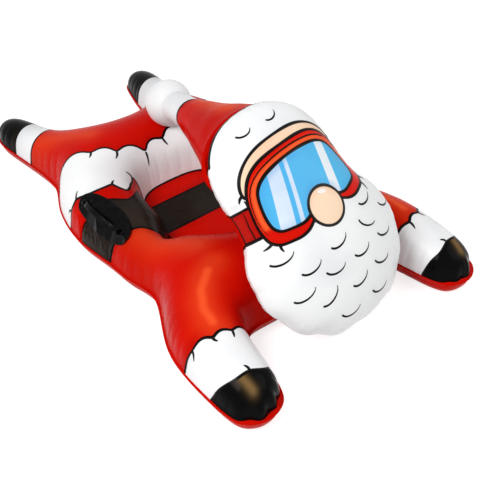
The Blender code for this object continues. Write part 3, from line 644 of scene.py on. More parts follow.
def makePrintGroup():
    # printed film: painted highlights where the glow attribute says, darker patches at random and where the dim
    # attribute says, painted shade beside the ink lines, ink lines, orange peel and faint rub marks
    group = bpy.data.node_groups.new("printedFilm", "ShaderNodeTree")
    socket(group, "Print", "Color", (0.7, 0.02, 0.01, 1))
    socket(group, "Shade", "Color", (0.4, 0.01, 0.005, 1))
    socket(group, "Glow", "Color", (0.85, 0.06, 0.02, 1))
    socket(group, "Tone Scale", "Float", 3.0)
    socket(group, "Shade Reach", "Float", 0.02)
    socket(group, "Shade Amount", "Float", 0.6)
    socket(group, "Gloss Roughness", "Float", 0.26)
    socket(group, "Color", "Color", out=True)
    socket(group, "Roughness", "Float", out=True)
    socket(group, "Normal", "Vector", out=True)
    nodes, links = group.nodes, group.links
    entry, leave = nodes.new("NodeGroupInput"), nodes.new("NodeGroupOutput")
    place = nodes.new("ShaderNodeTexCoord")

    def texture(scale, detail, rough=0.5):
        made = nodes.new("ShaderNodeTexNoise")
        made.inputs["Scale"].default_value = scale
        made.inputs["Detail"].default_value = detail
        made.inputs["Roughness"].default_value = rough
        links.new(place.outputs["Object"], made.inputs["Vector"])
        return made

    def ranged(value, low, high, start, end, smooth=True):
        made = nodes.new("ShaderNodeMapRange")
        made.interpolation_type = "SMOOTHSTEP" if smooth else "LINEAR"
        for name, setting in (("From Min", low), ("From Max", high), ("To Min", start), ("To Max", end)):
            made.inputs[name].default_value = setting
        links.new(value, made.inputs["Value"])
        return made

    def mixed(share, one, two):
        made = nodes.new("ShaderNodeMix")
        made.data_type = "RGBA"
        for target, source in ((0, share), (6, one), (7, two)):
            if isinstance(source, tuple):
                made.inputs[target].default_value = source
            else:
                links.new(source, made.inputs[target])
        return made.outputs[2]

    def maths(operation, one, two):
        made = nodes.new("ShaderNodeMath")
        made.operation = operation
        for target, source in enumerate((one, two)):
            if isinstance(source, (int, float)):
                made.inputs[target].default_value = source
            else:
                links.new(source, made.inputs[target])
        return made.outputs[0]

    def painted(name):
        made = nodes.new("ShaderNodeAttribute")
        made.attribute_name = name
        return made.outputs["Fac"]

    distance = painted("ink")
    wide = texture(3.0, 1.5)
    links.new(entry.outputs["Tone Scale"], wide.inputs["Scale"])
    dim = ranged(wide.outputs["Fac"], 0.36, 0.50, 0.30, 0.0)
    dim = maths("MAXIMUM", dim.outputs["Result"], painted("dim"))
    tone = mixed(dim, entry.outputs["Print"], entry.outputs["Shade"])
    # painted highlights: the Glow colour where the glow attribute says
    tone = mixed(painted("glow"), tone, entry.outputs["Glow"])

    # painted shade beside the ink lines, in patches
    patch = texture(9.0, 2.0)
    near = nodes.new("ShaderNodeMapRange")
    near.interpolation_type = "SMOOTHSTEP"
    near.inputs["From Min"].default_value = 0
    near.inputs["To Min"].default_value = 1
    near.inputs["To Max"].default_value = 0
    links.new(distance, near.inputs["Value"])
    links.new(entry.outputs["Shade Reach"], near.inputs["From Max"])
    patchy = ranged(patch.outputs["Fac"], 0.36, 0.62, 0.25, 1.0)
    shade = maths("MULTIPLY", near.outputs["Result"], patchy.outputs["Result"])
    shade = maths("MULTIPLY", shade, entry.outputs["Shade Amount"])
    tone = mixed(shade, tone, entry.outputs["Shade"])

    speck = texture(700.0, 1.0)
    grain = ranged(speck.outputs["Fac"], 0.30, 0.75, 0.0, 0.09)
    tone = mixed(grain.outputs["Result"], tone, entry.outputs["Shade"])

    drawn = ranged(distance, -ink["soft"], ink["soft"], 1.0, 0.0)
    tone = mixed(drawn.outputs["Result"], tone, (0.004, 0.003, 0.003, 1))
    links.new(tone, leave.inputs["Color"])

    rub = texture(60.0, 4.0, 0.7)
    worn = ranged(rub.outputs["Fac"], 0.35, 0.8, -0.03, 0.13, False)
    rough = maths("ADD", entry.outputs["Gloss Roughness"], worn.outputs["Result"])
    links.new(rough, leave.inputs["Roughness"])

    peel = texture(230.0, 1.5)
    ripple = texture(24.0, 2.5, 0.55)
    height = maths("ADD", maths("MULTIPLY", peel.outputs["Fac"], 0.08), maths("MULTIPLY", ripple.outputs["Fac"], 0.45))
    bump = nodes.new("ShaderNodeBump")
    bump.inputs["Strength"].default_value = 0.35
    bump.inputs["Distance"].default_value = 0.0035
    links.new(height, bump.inputs["Height"])
    links.new(bump.outputs["Normal"], leave.inputs["Normal"])
    return group


def printed(name, colour, shade, glow, gloss=0.26, reach=0.02, amount=0.6, toneScale=3.0, level=0.4, tint=(1, 1, 1)):
    material = bpy.data.materials.new(name)
    material.use_nodes = True
    nodes, links = material.node_tree.nodes, material.node_tree.links
    shader = nodes["Principled BSDF"]
    film = nodes.new("ShaderNodeGroup")
    film.node_tree = printGroup
    for name, value in (("Print", colour), ("Shade", shade), ("Glow", glow)):
        film.inputs[name].default_value = (*value, 1)
    for name, value in (("Tone Scale", toneScale), ("Shade Reach", reach), ("Shade Amount", amount)):
        film.inputs[name].default_value = value
    film.inputs["Gloss Roughness"].default_value = gloss
    links.new(film.outputs["Color"], shader.inputs["Base Color"])
    links.new(film.outputs["Roughness"], shader.inputs["Roughness"])
    links.new(film.outputs["Normal"], shader.inputs["Normal"])
    shader.inputs["Specular IOR Level"].default_value = level
    shader.inputs["Specular Tint"].default_value = (*tint, 1)
    return material


def glinted(material, amount):
    # white glints of the print, drawn over the colour but under the ink
    nodes, links = material.node_tree.nodes, material.node_tree.links
    film = next(n for n in nodes if n.type == "GROUP")
    mark = nodes.new("ShaderNodeAttribute")
    mark.attribute_name = "glint"
    edge = nodes.new("ShaderNodeMapRange")
    edge.inputs["From Min"].default_value = ink["soft"]
    edge.inputs["From Max"].default_value = -ink["soft"]
    edge.inputs["To Max"].default_value = amount
    links.new(mark.outputs["Fac"], edge.inputs["Value"])
    mix = nodes.new("ShaderNodeMix")
    mix.data_type = "RGBA"
    mix.inputs[6].default_value = film.inputs["Print"].default_value
    mix.inputs[7].default_value = (0.88, 0.90, 0.91, 1)
    links.new(edge.outputs["Result"], mix.inputs[0])
    links.new(mix.outputs[2], film.inputs["Print"])


printGroup = makePrintGroup()
print("film print made")

warm = (1.0, 0.35, 0.22)
# each: name, print colour, shade colour and painted highlight colour; then roughness, how far and how much the print
# darkens beside the lines, scale of its tones, how strongly it mirrors and the tint of that
vinyl = {
    "red": printed(
        "redVinyl", (0.58, 0.004, 0.0008), (0.36, 0.002, 0.001), (0.95, 0.12, 0.03), 0.27, 0.03, 0.4, 3, 0.035, warm
    ),
    "cap": printed(
        "capVinyl", (0.58, 0.004, 0.0008), (0.36, 0.002, 0.001), (0.95, 0.12, 0.03), 0.30, 0.03, 0.4, 3, 0.006, warm
    ),
    "white": printed(
        "whiteVinyl", (0.87, 0.875, 0.88), (0.62, 0.63, 0.65), (0.90, 0.90, 0.90), 0.28, 0.016, 0.15, 5, 0.1
    ),
    "belt": printed(
        "beltVinyl", (0.016, 0.010, 0.007), (0.008, 0.006, 0.005), (0.055, 0.035, 0.024), 0.24, 0.02, 0.3, 3, 0.06
    ),
    "black": printed(
        "mittVinyl", (0.003, 0.003, 0.003), (0.001, 0.001, 0.001), (0.22, 0.13, 0.05), 0.14, 0.02, 0.3, 7, 0.028
    ),
    "peach": printed(
        "peachVinyl", (0.90, 0.68, 0.49), (0.80, 0.45, 0.28), (0.93, 0.74, 0.60), 0.27, 0.02, 0.4, 6, 0.12
    ),
    "nose": printed(
        "noseVinyl", (0.90, 0.68, 0.49), (0.80, 0.45, 0.28), (0.93, 0.74, 0.60), 0.27, 0.02, 0.4, 6, 0.12
    ),
    "frame": printed(
        "goggleFrameVinyl", (0.72, 0.008, 0.002), (0.40, 0.003, 0.002), (0.92, 0.13, 0.03), 0.22, 0.01, 0.3, 7, 0.09, warm
    ),
    "strap": printed(
        "goggleStrapVinyl", (0.46, 0.008, 0.005), (0.28, 0.003, 0.003), (0.80, 0.07, 0.03), 0.25, 0.014, 0.4, 7, 0.06, warm
    ),
    "lens": printed(
        "lensVinyl", (0.085, 0.48, 0.80), (0.05, 0.30, 0.66), (0.24, 0.66, 0.90), 0.18, 0.02, 0.4, 5, 0.13
    ),
}
glinted(vinyl["lens"], 0.92)
glinted(vinyl["nose"], 1)


# The printed body


def lobedBorder(white, dark, depth):
    # the fleece meets the mitt in two lobes with a notch between them
    whole = {"white": np.concatenate(white), "dark": np.concatenate(dark)}
    reach = 1.5 * mm
    near = [p for p in whole["white"] if np.min(np.linalg.norm(whole["dark"] - p, axis=1)) < reach]
    ends = max(((p, q) for p in near for q in near), key=lambda pair: np.linalg.norm(pair[1] - pair[0]))
    across = ends[1] - ends[0]
    out = np.array((-across[1], across[0])) / np.linalg.norm(across)
    if (whole["dark"].mean(axis=0) - whole["white"].mean(axis=0)) @ out < 0:
        out = -out
    for loops, other in ((white, whole["dark"]), (dark, whole["white"])):
        for loop in loops:
            for i, p in enumerate(loop.copy()):
                if np.min(np.linalg.norm(other - p, axis=1)) < reach:
                    share = (p - ends[0]) @ across / (across @ across)
                    loop[i] = p + out * depth * abs(math.sin(2 * math.pi * share)) ** 0.8


def pressedUnder(mesh, node, gap, rounds, spread):
    # the skin dips under a plate that is welded onto it, and comes back up over a short way
    plate = frame["nodes"][node].data
    tree = BVHTree.FromPolygons([v.co for v in plate.vertices], [p.vertices for p in plate.polygons])
    points, normals = np.array([v.co for v in mesh.vertices]), normalsOf(mesh)
    low, high = (np.array(corner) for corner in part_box(node))
    push = np.zeros(len(points))
    reach = 30 * mm
    for i in np.flatnonzero(((points > low - reach) & (points < high + reach)).all(axis=1)):
        _, _, _, way = tree.ray_cast(Vector(points[i] - normals[i] * reach), Vector(normals[i]), 2 * reach)
        if way is not None:
            push[i] = max(0, gap + reach - way)
    edges = np.array([e.vertices[:] for e in mesh.edges])
    for _ in range(rounds):
        wider = push.copy()
        np.maximum.at(wider, edges[:, 0], push[edges[:, 1]] * spread)
        np.maximum.at(wider, edges[:, 1], push[edges[:, 0]] * spread)
        push = wider
    placed(mesh, points - normals * push[:, None])


def valvePlace(name):
    # frame of a valve: the flange's ring is centred on the stem's line
    joint = next(j for j in frame["joints"] if j["name"] == name + "_pull")
    out = Vector(joint["axis"]).normalized()
    ring = frame["nodes"][name + "_flange"].data.vertices
    middle = sum((v.co for v in ring), Vector()) / len(ring)
    low = min((v.co - middle).dot(out) for v in ring)
    place = out.to_track_quat("Z", "Y").to_matrix().to_4x4()
    place.translation = middle + out * (low - valve["seatGap"])
    return place


def bored(mesh, place):
    # a round recess for the valve's flange, and a well for its stem
    bm = bmesh.new()
    rings = []
    profile = [
        (valve["wellRadius"], -valve["wellDepth"]), (valve["wellRadius"], 0),
        (valve["recessRadius"], 0), (valve["recessRadius"], valve["recessTop"]),
    ]
    for radius, height in profile:
        turns = [2 * math.pi * k / valve["sides"] for k in range(valve["sides"])]
        rings.append([bm.verts.new((radius * math.cos(a), radius * math.sin(a), height)) for a in turns])
    skinned(bm, rings)
    bm.transform(place)
    made = bpy.data.meshes.new("cutter")
    bm.to_mesh(made)
    bm.free()
    pieces = [bpy.data.objects.new(name, data) for name, data in (("skin", mesh), ("cutter", made))]
    for piece in pieces:
        scene.collection.objects.link(piece)
    cut = pieces[0].modifiers.new("cut", "BOOLEAN")
    cut.operation = "DIFFERENCE"
    cut.solver = "EXACT"
    cut.object = pieces[1]
    result = applied(pieces[0])
    for piece in pieces:
        bpy.data.objects.remove(piece)
    return result


def skinned(bm, rings):
    # faces round a row of rings, with a flat face on the first and the last one
    for one, two in zip(rings, rings[1:]):
        for k in range(len(one)):
            after = (k + 1) % len(one)
            bm.faces.new((one[k], one[after], two[after], two[k]))
    for ring in (rings[0], rings[-1]):
        bm.faces.new(ring)
    bmesh.ops.recalc_face_normals(bm, faces=bm.faces[:])


valve = {
    "seatGap": 0.3 * mm, "wellRadius": 8.2 * mm, "wellDepth": 32 * mm, "recessRadius": 16.5 * mm,
    "recessTop": 15 * mm, "sides": 64,
}
pad = {"gap": 0.5 * mm, "rounds": 9, "spread": 0.84}
# painted highlights along the figure's right sleeve, mitt, shoulder and thigh, each mirrored to the left; the boot
# cuffs are darkened
streaks = {
    "sleeve": [(-0.216, -0.358), (-0.262, -0.380), (-0.305, -0.425), (-0.325, -0.475), (-0.322, -0.520)],
    "sleeveWidth": 36 * mm, "sleeveGlow": 0.30,
    "sleeveCore": [(-0.245, -0.372), (-0.290, -0.405), (-0.316, -0.448), (-0.322, -0.490)],
    "sleeveCoreWidth": 15 * mm, "sleeveCoreGlow": 0.68,
    "mitt": [(-0.360, -0.596), (-0.352, -0.664)], "mittWidth": 11 * mm, "mittGlow": 0.85,
    "shoulder": [(-0.262, -0.06), (-0.250, -0.18), (-0.205, -0.27)], "shoulderWidth": 46 * mm, "shoulderGlow": 0.34,
    "thigh": [(-0.16, 0.30), (-0.235, 0.42), (-0.275, 0.52)], "thighWidth": 34 * mm, "thighGlow": 0.30,
    "bootCuff": [(-0.36, 0.60), (-0.24, 0.56)], "bootCuffWidth": 60 * mm, "bootCuffDim": 0.75,
}


def mirrored(line):
    return [(-x, y) for x, y in line]


def makeBody():
    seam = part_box("jacket")[0].z
    down = Matrix.Translation((0, 0, -seam))
    loops = loopsOf(bodyZones, down, 0)
    for side in ("right", "left"):
        lobedBorder(loops[side + "_cuff"], loops[side + "_mitt"], body["cuffLobe"])
    deckZones = [name for name in bodyZones if name.startswith("deck")]
    flat, faces, zone = planMesh(loops, body["gridStep"], deckZones)
    plan = refined(flat, faces, zone, body["planLevels"])
    names = list(bodyZones)
    points, triangles, zone = meshArrays(plan)
    deck = np.isin(zone, [i for i, n in enumerate(names) if n.startswith("deck")])
    path, border, way = seamPath(plan)
    pinned = np.zeros(len(points), bool)
    pinned[path] = True
    pinned[np.unique(triangles[deck])] = True
    lift = film(points[:, :2], triangles, pinned)
    rise = body["rim"] + body["tubeLimit"] * (1 - np.exp(-body["tubeGain"] * lift / body["tubeLimit"]))
    _, along, gap = nearestOn(points[:, :2], border, way)
    edge = np.intersect1d(np.unique(triangles[deck]), np.unique(triangles[~deck]))
    around = points[edge][:, :2]
    middle = around.mean(axis=0)
    turn = np.arctan2(*(around - middle).T[::-1])
    order = np.argsort(turn)
    around = around[order]
    walk = np.concatenate([[0], np.cumsum(np.linalg.norm(np.diff(around, axis=0), axis=1))])
    _, innerAlong, innerGap = nearestOn(points[:, :2], around, walk)
    onDeck = np.zeros(len(points), bool)
    onDeck[np.unique(triangles[deck])] = True
    rise = sloped(rise, np.minimum(gap, innerGap), body["steepest"])
    rise[pinned] = body["rim"]
    rise[onDeck] = body["deckRise"]
    points[:, 2] = seam + rise
    placed(plan, points)

    # folds gather at the outer seam and at the deck's edge
    normals = normalsOf(plan)
    fold = puckers(along, gap, body, 1) + np.where(onDeck, 0, puckers(innerAlong, innerGap, body, 2) * 0.8)
    swell = np.array([noise.noise(Vector(p) * 7) for p in points]) * body["swell"]
    swell[pinned] = 0
    points += normals * (swell - fold)[:, None]
    ripple = np.array([noise.noise((p[0] * 9, p[1] * 22, 4)) for p in points]) * body["deckRipple"]
    points[onDeck, 2] += ripple[onDeck]
    placed(plan, points)

    slots = ["red", "belt", "white", "black"]
    coloured(plan, bodyZones, slots)
    skin = finer(plan, 1)
    tree = BVHTree.FromPolygons([v.co for v in skin.vertices], [p.vertices for p in skin.polygons])
    strokes = []
    for index, name in enumerate(names):
        if bodyZones[name] == "white":
            for loop in loops[name]:
                strokes += tufts(loop, 20 * mm, 7 * mm, index)
    for side in ("right", "left"):
        pressedUnder(skin, side + "_handle_pad", pad["gap"], pad["rounds"], pad["spread"])
    samples = borderSamples(skin, ink["borderHalf"]) + strokeSamples(strokes, Matrix.Identity(4), tree)
    closedBelow(skin, body["rim"] / 2)
    skin = bored(skin, valvePlace("body_valve"))
    inked(skin, samples)
    points = np.array([v.co[:2] for v in skin.vertices])
    # painted highlights on the sleeves, mitts, shoulders and thighs
    light = []
    for kind in ("sleeve", "sleeveCore", "mitt", "shoulder", "thigh"):
        for line in (streaks[kind], mirrored(streaks[kind])):
            light.append((line, streaks[kind + "Width"], streaks[kind + "Glow"]))
    stored(skin, "glow", softStreaks(points, light))
    cuffs = [(line, streaks["bootCuffWidth"], streaks["bootCuffDim"])
             for line in (streaks["bootCuff"], mirrored(streaks["bootCuff"]))]
    stored(skin, "dim", softStreaks(points, cuffs))
    piece = pieceOf("bodySkin", skin, [vinyl[slot] for slot in slots])
    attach(piece, "sled")
    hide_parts(*bodyZones)
    print("body skin:", len(skin.polygons), "faces")
    return piece, tree


bodySkin, bodyTree = makeBody()


def makeBottom():
    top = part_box("base_sheet")[1].z
    loops = {"base": flatLoops("base_sheet", Matrix.Translation((0, 0, -top)), 0)}
    flat, faces, zone = planMesh(loops, body["bottomStep"])
    plan = refined(flat, faces, zone, 2)
    points, triangles, _ = meshArrays(plan)
    path, border, way = seamPath(plan)
    _, along, gap = nearestOn(points[:, :2], border, way)
    inwards = np.clip((gap - body["weldMargin"]) / body["keelRound"], 0, 1)
    depth = body["rim"] + (top - body["rim"]) * np.sqrt(1 - (1 - inwards) ** 2)
    fold = puckers(along, gap, body, 3) * 0.5 * (inwards < 1)
    points[:, 2] = top - depth + fold
    placed(plan, points)
    plan.flip_normals()
    bm = bmesh.new()
    bm.from_mesh(plan)
    made = bmesh.ops.extrude_edge_only(bm, edges=[e for e in bm.edges if e.is_boundary])["geom"]
    for vertex in [item for item in made if isinstance(item, bmesh.types.BMVert)]:
        vertex.co.z = top
    upper = [item for item in made if isinstance(item, bmesh.types.BMEdge) and item.is_boundary]
    bmesh.ops.holes_fill(bm, edges=upper, sides=0)
    bmesh.ops.recalc_face_normals(bm, faces=bm.faces[:])
    bm.to_mesh(plan)
    bm.free()
    plan.polygons.foreach_set("material_index", np.zeros(len(plan.polygons), int))
    stored(plan, "ink", np.ones(len(plan.vertices)))
    piece = pieceOf("bottomSheet", plan, [vinyl["red"]])
    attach(piece, "sled")
    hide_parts("base_sheet")
    print("bottom sheet:", len(plan.polygons), "faces")


makeBottom()


# The head pillow


def offsetLine(loop, distance, facing):
    # the part of a loop that faces one way, moved outwards, as one open line
    x, y = loop[:, 0], loop[:, 1]
    if np.sum(x * np.roll(y, -1) - y * np.roll(x, -1)) < 0:
        loop = loop[::-1]
    along = np.roll(loop, -1, axis=0) - np.roll(loop, 1, axis=0)
    out = np.stack([along[:, 1], -along[:, 0]], 1) / np.linalg.norm(along, axis=1)[:, None]
    keep = out @ np.array(facing) > 0.05
    runs = []
    for first in (i for i in range(len(keep)) if keep[i] and not keep[i - 1]):
        run = [first]
        while keep[(run[-1] + 1) % len(keep)]:
            run.append((run[-1] + 1) % len(keep))
        runs.append(run)
    return (loop + out * distance)[max(runs, key=len)]


def sharedLine(loops, others, shift):
    # a straight line beside the border that two zones share
    near = np.concatenate(others)
    points = [p for loop in loops for p in loop if np.min(np.linalg.norm(near - p, axis=1)) < 1.5 * mm]
    return np.array([min(points, key=lambda p: p[1]), max(points, key=lambda p: p[1])]) + (shift, 0)


def glintMark(points):
    # distance to the edge of the nearest glint: slanted bands on the lens, a small oval on the nose
    lean = goggles["glintLean"]
    across = np.array((math.cos(lean), -math.sin(lean)))
    bands = np.minimum.reduce([np.abs((points - place) @ across) - half for place, half in goggles["bands"]])
    onNose = np.linalg.norm(points - goggles["nose"], axis=1) < goggles["noseRadius"]
    turn = goggles["noseGlintTurn"]
    long, short = goggles["noseGlintSize"]
    off = points - goggles["noseGlint"]
    u = off @ (math.cos(turn), math.sin(turn)) / long
    v = off @ (-math.sin(turn), math.cos(turn)) / short
    return np.where(onNose, (np.sqrt(u**2 + v**2) - 1) * short, bands)


def crossings(mesh, values, faces, half):
    # points along the line where a value passes zero
    samples = []
    for index in faces:
        corners = list(mesh.polygons[index].vertices)
        points = []
        for i, j in zip(corners, corners[1:] + corners[:1]):
            if (values[i] > 0) != (values[j] > 0):
                share = values[i] / (values[i] - values[j])
                points.append(mesh.vertices[i].co.lerp(mesh.vertices[j].co, share))
        if len(points) == 2:
            samples += [(*points[0].lerp(points[1], part / 3), half) for part in range(3)]
    return samples


goggles = {
    "lineGap": 15 * mm, "lineHalf": 2.3 * mm, "strapLines": (10 * mm,), "glintLean": 0.36,
    "bands": [((-0.082, 0.39), 17 * mm), ((-0.046, 0.39), 5 * mm), ((0.070, 0.39), 13 * mm)],
    "nose": (0, 0.318), "noseRadius": 49 * mm, "noseGlint": (0.010, 0.350), "noseGlintSize": (13 * mm, 5 * mm),
    "noseGlintTurn": -0.35, "clearOfNose": 70 * mm,
    # painted highlight along the top of the goggle frame
    "glow": 0.9, "glowWidth": 7 * mm,
}
fleece = {
    "collarPitch": 92 * mm, "collarRow": 48 * mm, "collarSize": 56 * mm,
    "bandPitch": 74 * mm, "bandRow": 42 * mm, "bandSize": 42 * mm,
}


def makeHead():
    toWorld = turned(head)
    loops = loopsOf(headZones, toWorld.inverted(), head["seamGap"])
    flat, faces, zone = planMesh(loops, head["gridStep"])
    plan = refined(flat, faces, zone, head["planLevels"])
    points, triangles, zone = meshArrays(plan)
    path, border, way = seamPath(plan)
    pinned = np.zeros(len(points), bool)
    pinned[path] = True
    near, along, gap = nearestOn(points[:, :2], border, way)
    lift = sloped(film(points[:, :2], triangles, pinned), gap, head["steepest"])
    lift[pinned] = 0
    slots = ["white", "peach", "nose", "lens", "frame", "strap", "red"]
    coloured(plan, headZones, slots)

    # on the nape the fleece turns over the seam in lobes, except where the tail starts
    lobes = np.abs(np.sin(math.pi * way / head["napeLobePitch"])) * head["napeLobe"]
    low = np.clip((head["tailPlace"] - border[:, 1]) / head["tailBlend"], 0, 1)
    strap = np.array(head["strapReach"])
    beside = np.clip(np.maximum(strap[0] - border[:, 1], border[:, 1] - strap[1]) / head["strapBlend"], 0, 1)
    reach = (head["napeBand"] + lobes) * low * beside
    rim = gap - reach[near]

    def half(gain, side, seed):
        mesh = plan.copy()
        own = points.copy()
        own[:, 2] = side * (head["rim"] / 2 + gain * lift)
        placed(mesh, own)
        normals = normalsOf(mesh)
        fold = puckers(along, gap, head, seed)
        swell = np.array([noise.noise(Vector(p) * 8 + Vector((seed, 0, 0))) for p in own]) * head["swell"]
        swell[pinned] = 0
        outwards = normals * np.where(normals[:, 2:] * side < 0, -1, 1)
        own += outwards * (swell - fold)[:, None]
        placed(mesh, own)
        stored(mesh, "rim", rim if side < 0 else np.ones(len(own)))
        return mesh

    face, nape = half(head["faceGain"], 1, 11), half(head["napeGain"], -1, 12)
    nape.flip_normals()
    nape.polygons.foreach_set("material_index", np.full(len(nape.polygons), slots.index("red")))
    bm = bmesh.new()
    bm.from_mesh(face)
    bm.from_mesh(nape)
    bmesh.ops.bridge_loops(bm, edges=[e for e in bm.edges if e.is_boundary])
    bm.transform(toWorld)
    # the nape rests on the body: what would sink into it is pressed up
    for vertex in bm.verts:
        hit = bodyTree.ray_cast(Vector((vertex.co.x, vertex.co.y, 1)), Vector((0, 0, -1)))[0]
        if hit and vertex.co.z < hit.z + head["restGap"]:
            vertex.co.z = hit.z + head["restGap"]
    bmesh.ops.recalc_face_normals(bm, faces=bm.faces[:])
    whole = bpy.data.meshes.new("head")
    bm.to_mesh(whole)
    bm.free()
    skin = finer(whole, 1)
    tree = BVHTree.FromPolygons([v.co for v in skin.vertices], [p.vertices for p in skin.polygons])

    # lines of the print
    strokes = []
    for index, name in enumerate(headZones):
        if headZones[name] == "white":
            for loop in loops[name]:
                for line, width in tufts(loop, 22 * mm, 8 * mm, index):
                    if np.linalg.norm(line - goggles["nose"], axis=1).min() > goggles["clearOfNose"]:
                        strokes.append((line, width))
    for kind, name in (("collar", "collar"), ("band", "cap_band")):
        for line, width in locks(loops[name], *(fleece[kind + size] for size in ("Pitch", "Row", "Size")), len(kind)):
            if np.linalg.norm(np.array(line) - goggles["nose"], axis=1).min() > goggles["clearOfNose"]:
                strokes.append((line, width))
    lens = max(loops["goggle_lens"], key=len)
    strokes.append((offsetLine(lens, goggles["lineGap"], (-0.45, 0.89)), goggles["lineHalf"]))
    for side, way1 in (("right", -1), ("left", 1)):
        for shift in goggles["strapLines"]:
            line = sharedLine(loops[side + "_goggle_strap"], loops["goggle_frame"], way1 * shift)
            strokes.append((line, goggles["lineHalf"]))
    samples = borderSamples(skin, ink["faceHalf"], slots.index("red")) + strokeSamples(strokes, toWorld, tree)
    tailSeam = []
    for i in path:
        if points[i][1] > head["tailPlace"]:
            tailSeam.append((*(toWorld @ Vector(points[i])), ink["seamHalf"]))
    samples += tailSeam
    values = np.empty(len(skin.vertices))
    skin.attributes["rim"].data.foreach_get("value", values)
    back = [p.index for p in skin.polygons if p.material_index == slots.index("red")]
    for index in back:
        if values[list(skin.polygons[index].vertices)].mean() < 0:
            skin.polygons[index].material_index = slots.index("white")
    samples += crossings(skin, values, back, ink["faceHalf"])
    skin = bored(skin, valvePlace("head_valve"))
    inked(skin, samples)
    toFlat = np.array(toWorld.inverted())
    own = np.array([v.co for v in skin.vertices]) @ toFlat[:3, :3].T + toFlat[:3, 3]
    stored(skin, "glint", glintMark(own[:, :2]))
    # painted highlight along the top of the goggle frame
    top = offsetLine(lens, goggles["lineGap"] / 2, (-0.1, 0.99))
    stored(skin, "glow", softStreaks(own[:, :2], [(top, goggles["glowWidth"], goggles["glow"])]))
    piece = pieceOf("headSkin", skin, [vinyl[slot] for slot in slots])
    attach(piece, "sled")
    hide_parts(*headZones, "head_back")
    print("head skin:", len(skin.polygons), "faces")
    return piece, toWorld, tailSeam


headSkin, headFrame, tailSeam = makeHead()


# Cap tail and pompom

tail = {
    "root": (0.004 * 440 * mm, 0.8195 * 615 * mm, -0.046 * 440 * mm),
    "rootWidth": 330 * mm, "rootDepth": 200 * mm, "tipWidth": 100 * mm, "tipDepth": 92 * mm,
    "tipShare": 0.665, "rise": 2 * mm, "turn": 2.0, "taper": 0.72,
    "rings": 110, "sides": 96, "swell": 2.6 * mm, "gather": 1.6 * mm, "gatherCount": 11, "seamGap": 0.4 * mm,
    # painted highlight along the tail's top: its line, width and strength
    "light": ((0.050, 0.010, 0.350), (0.020, -0.070, 0.400), (-0.010, -0.170, 0.445)),
    "glow": 0.5, "glowWidth": 34 * mm,
}
pompom = {
    "radius": 64 * mm, "side": 70 * mm, "place": 226 * mm, "sink": 14.3 * mm, "neckWidth": 88 * mm, "neckShare": 0.95, "seamGap": 0.3 * mm,
    "voxel": 2.4 * mm, "rounds": 8, "swell": 1.6 * mm, "inset": 1.0 * mm,
    "fluff": 5 * mm, "lean": 14 * mm,
}


def pompomCentre():
    # the ball lies on the back of the body, pressed in a little
    top = bodyTree.ray_cast(Vector((pompom["side"], pompom["place"], 1)), Vector((0, 0, -1)))[0]
    return top + Vector((0, 0, pompom["radius"] - pompom["sink"]))


def ovalRing(bm, centre, across, upwards, width, depth, sides, lump=None):
    ring = []
    for k in range(sides):
        turn = 2 * math.pi * k / sides
        more = lump(turn) if lump else 0
        out = across * math.cos(turn) * (width / 2 + more) + upwards * math.sin(turn) * (depth / 2 + more)
        ring.append(bm.verts.new(centre + out))
    return ring


def clearOf(mesh, other, gap):
    # cut a form back to lie just off another one
    cutter = other.data.copy()
    points, normals = np.array([v.co for v in cutter.vertices]), normalsOf(cutter)
    placed(cutter, points + normals * gap)
    pieces = [bpy.data.objects.new(name, data) for name, data in (("form", mesh), ("cutter", cutter))]
    for piece in pieces:
        scene.collection.objects.link(piece)
    cut = pieces[0].modifiers.new("cut", "BOOLEAN")
    cut.operation = "DIFFERENCE"
    cut.solver = "EXACT"
    cut.object = pieces[1]
    result = applied(pieces[0])
    for piece in pieces:
        bpy.data.objects.remove(piece)
    return result


def makeTail():
    root = headFrame @ Vector(tail["root"])
    tip = root.lerp(pompomCentre(), tail["tipShare"])
    axes = headFrame.to_3x3()
    bm = bmesh.new()
    rings = []
    for index in range(tail["rings"]):
        t = index / (tail["rings"] - 1)
        centre = root.lerp(tip, t) + Vector((0, 0, tail["rise"] * math.sin(math.pi * t)))
        slope = tip - root + Vector((0, 0, tail["rise"] * math.pi * math.cos(math.pi * t)))
        across = slope.cross(Vector((0, 0, 1))).normalized()
        upwards = across.cross(slope).normalized()
        across = axes.col[0].lerp(across, min(1, t * tail["turn"])).normalized()
        upwards = axes.col[1].lerp(upwards, min(1, t * tail["turn"])).normalized()
        width = tail["rootWidth"] + (tail["tipWidth"] - tail["rootWidth"]) * t ** tail["taper"]
        depth = tail["rootDepth"] + (tail["tipDepth"] - tail["rootDepth"]) * t ** tail["taper"]

        def lump(turn):
            broad = noise.noise((math.cos(turn) * 1.1, math.sin(turn) * 1.1, t * 4 + 9)) * tail["swell"]
            drift = noise.noise((math.cos(turn) * 2, math.sin(turn) * 2, 5)) * 3
            fold = max(0, math.cos(turn * tail["gatherCount"] + drift)) * max(0, t - 0.8) / 0.2
            return broad * min(1, 4 * (1 - t)) - tail["gather"] * fold * min(1, 12 * (1 - t))

        rings.append(ovalRing(bm, centre, across, upwards, width, depth, tail["sides"], lump))
    skinned(bm, rings)
    mesh = bpy.data.meshes.new("tail")
    bm.to_mesh(mesh)
    bm.free()
    mesh = clearOf(mesh, headSkin, tail["seamGap"])
    inked(mesh, tailSeam)
    points = np.array([v.co for v in mesh.vertices])
    ahead = np.array((tip - root).normalized())
    atTip = (np.array(tip) - points) @ ahead - ink["tailEnd"]
    atSeam = np.empty(len(points))
    mesh.attributes["ink"].data.foreach_get("value", atSeam)
    stored(mesh, "ink", np.minimum(atTip, atSeam))
    # painted highlight along the tail's top
    stored(mesh, "glow", softStreaks(points, [(tail["light"], tail["glowWidth"], tail["glow"])]))
    piece = pieceOf("capTail", mesh, [vinyl["cap"]])
    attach(piece, "sled")
    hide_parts("cap_tail")
    print("cap tail:", len(mesh.polygons), "faces")
    return root, tip, across, upwards


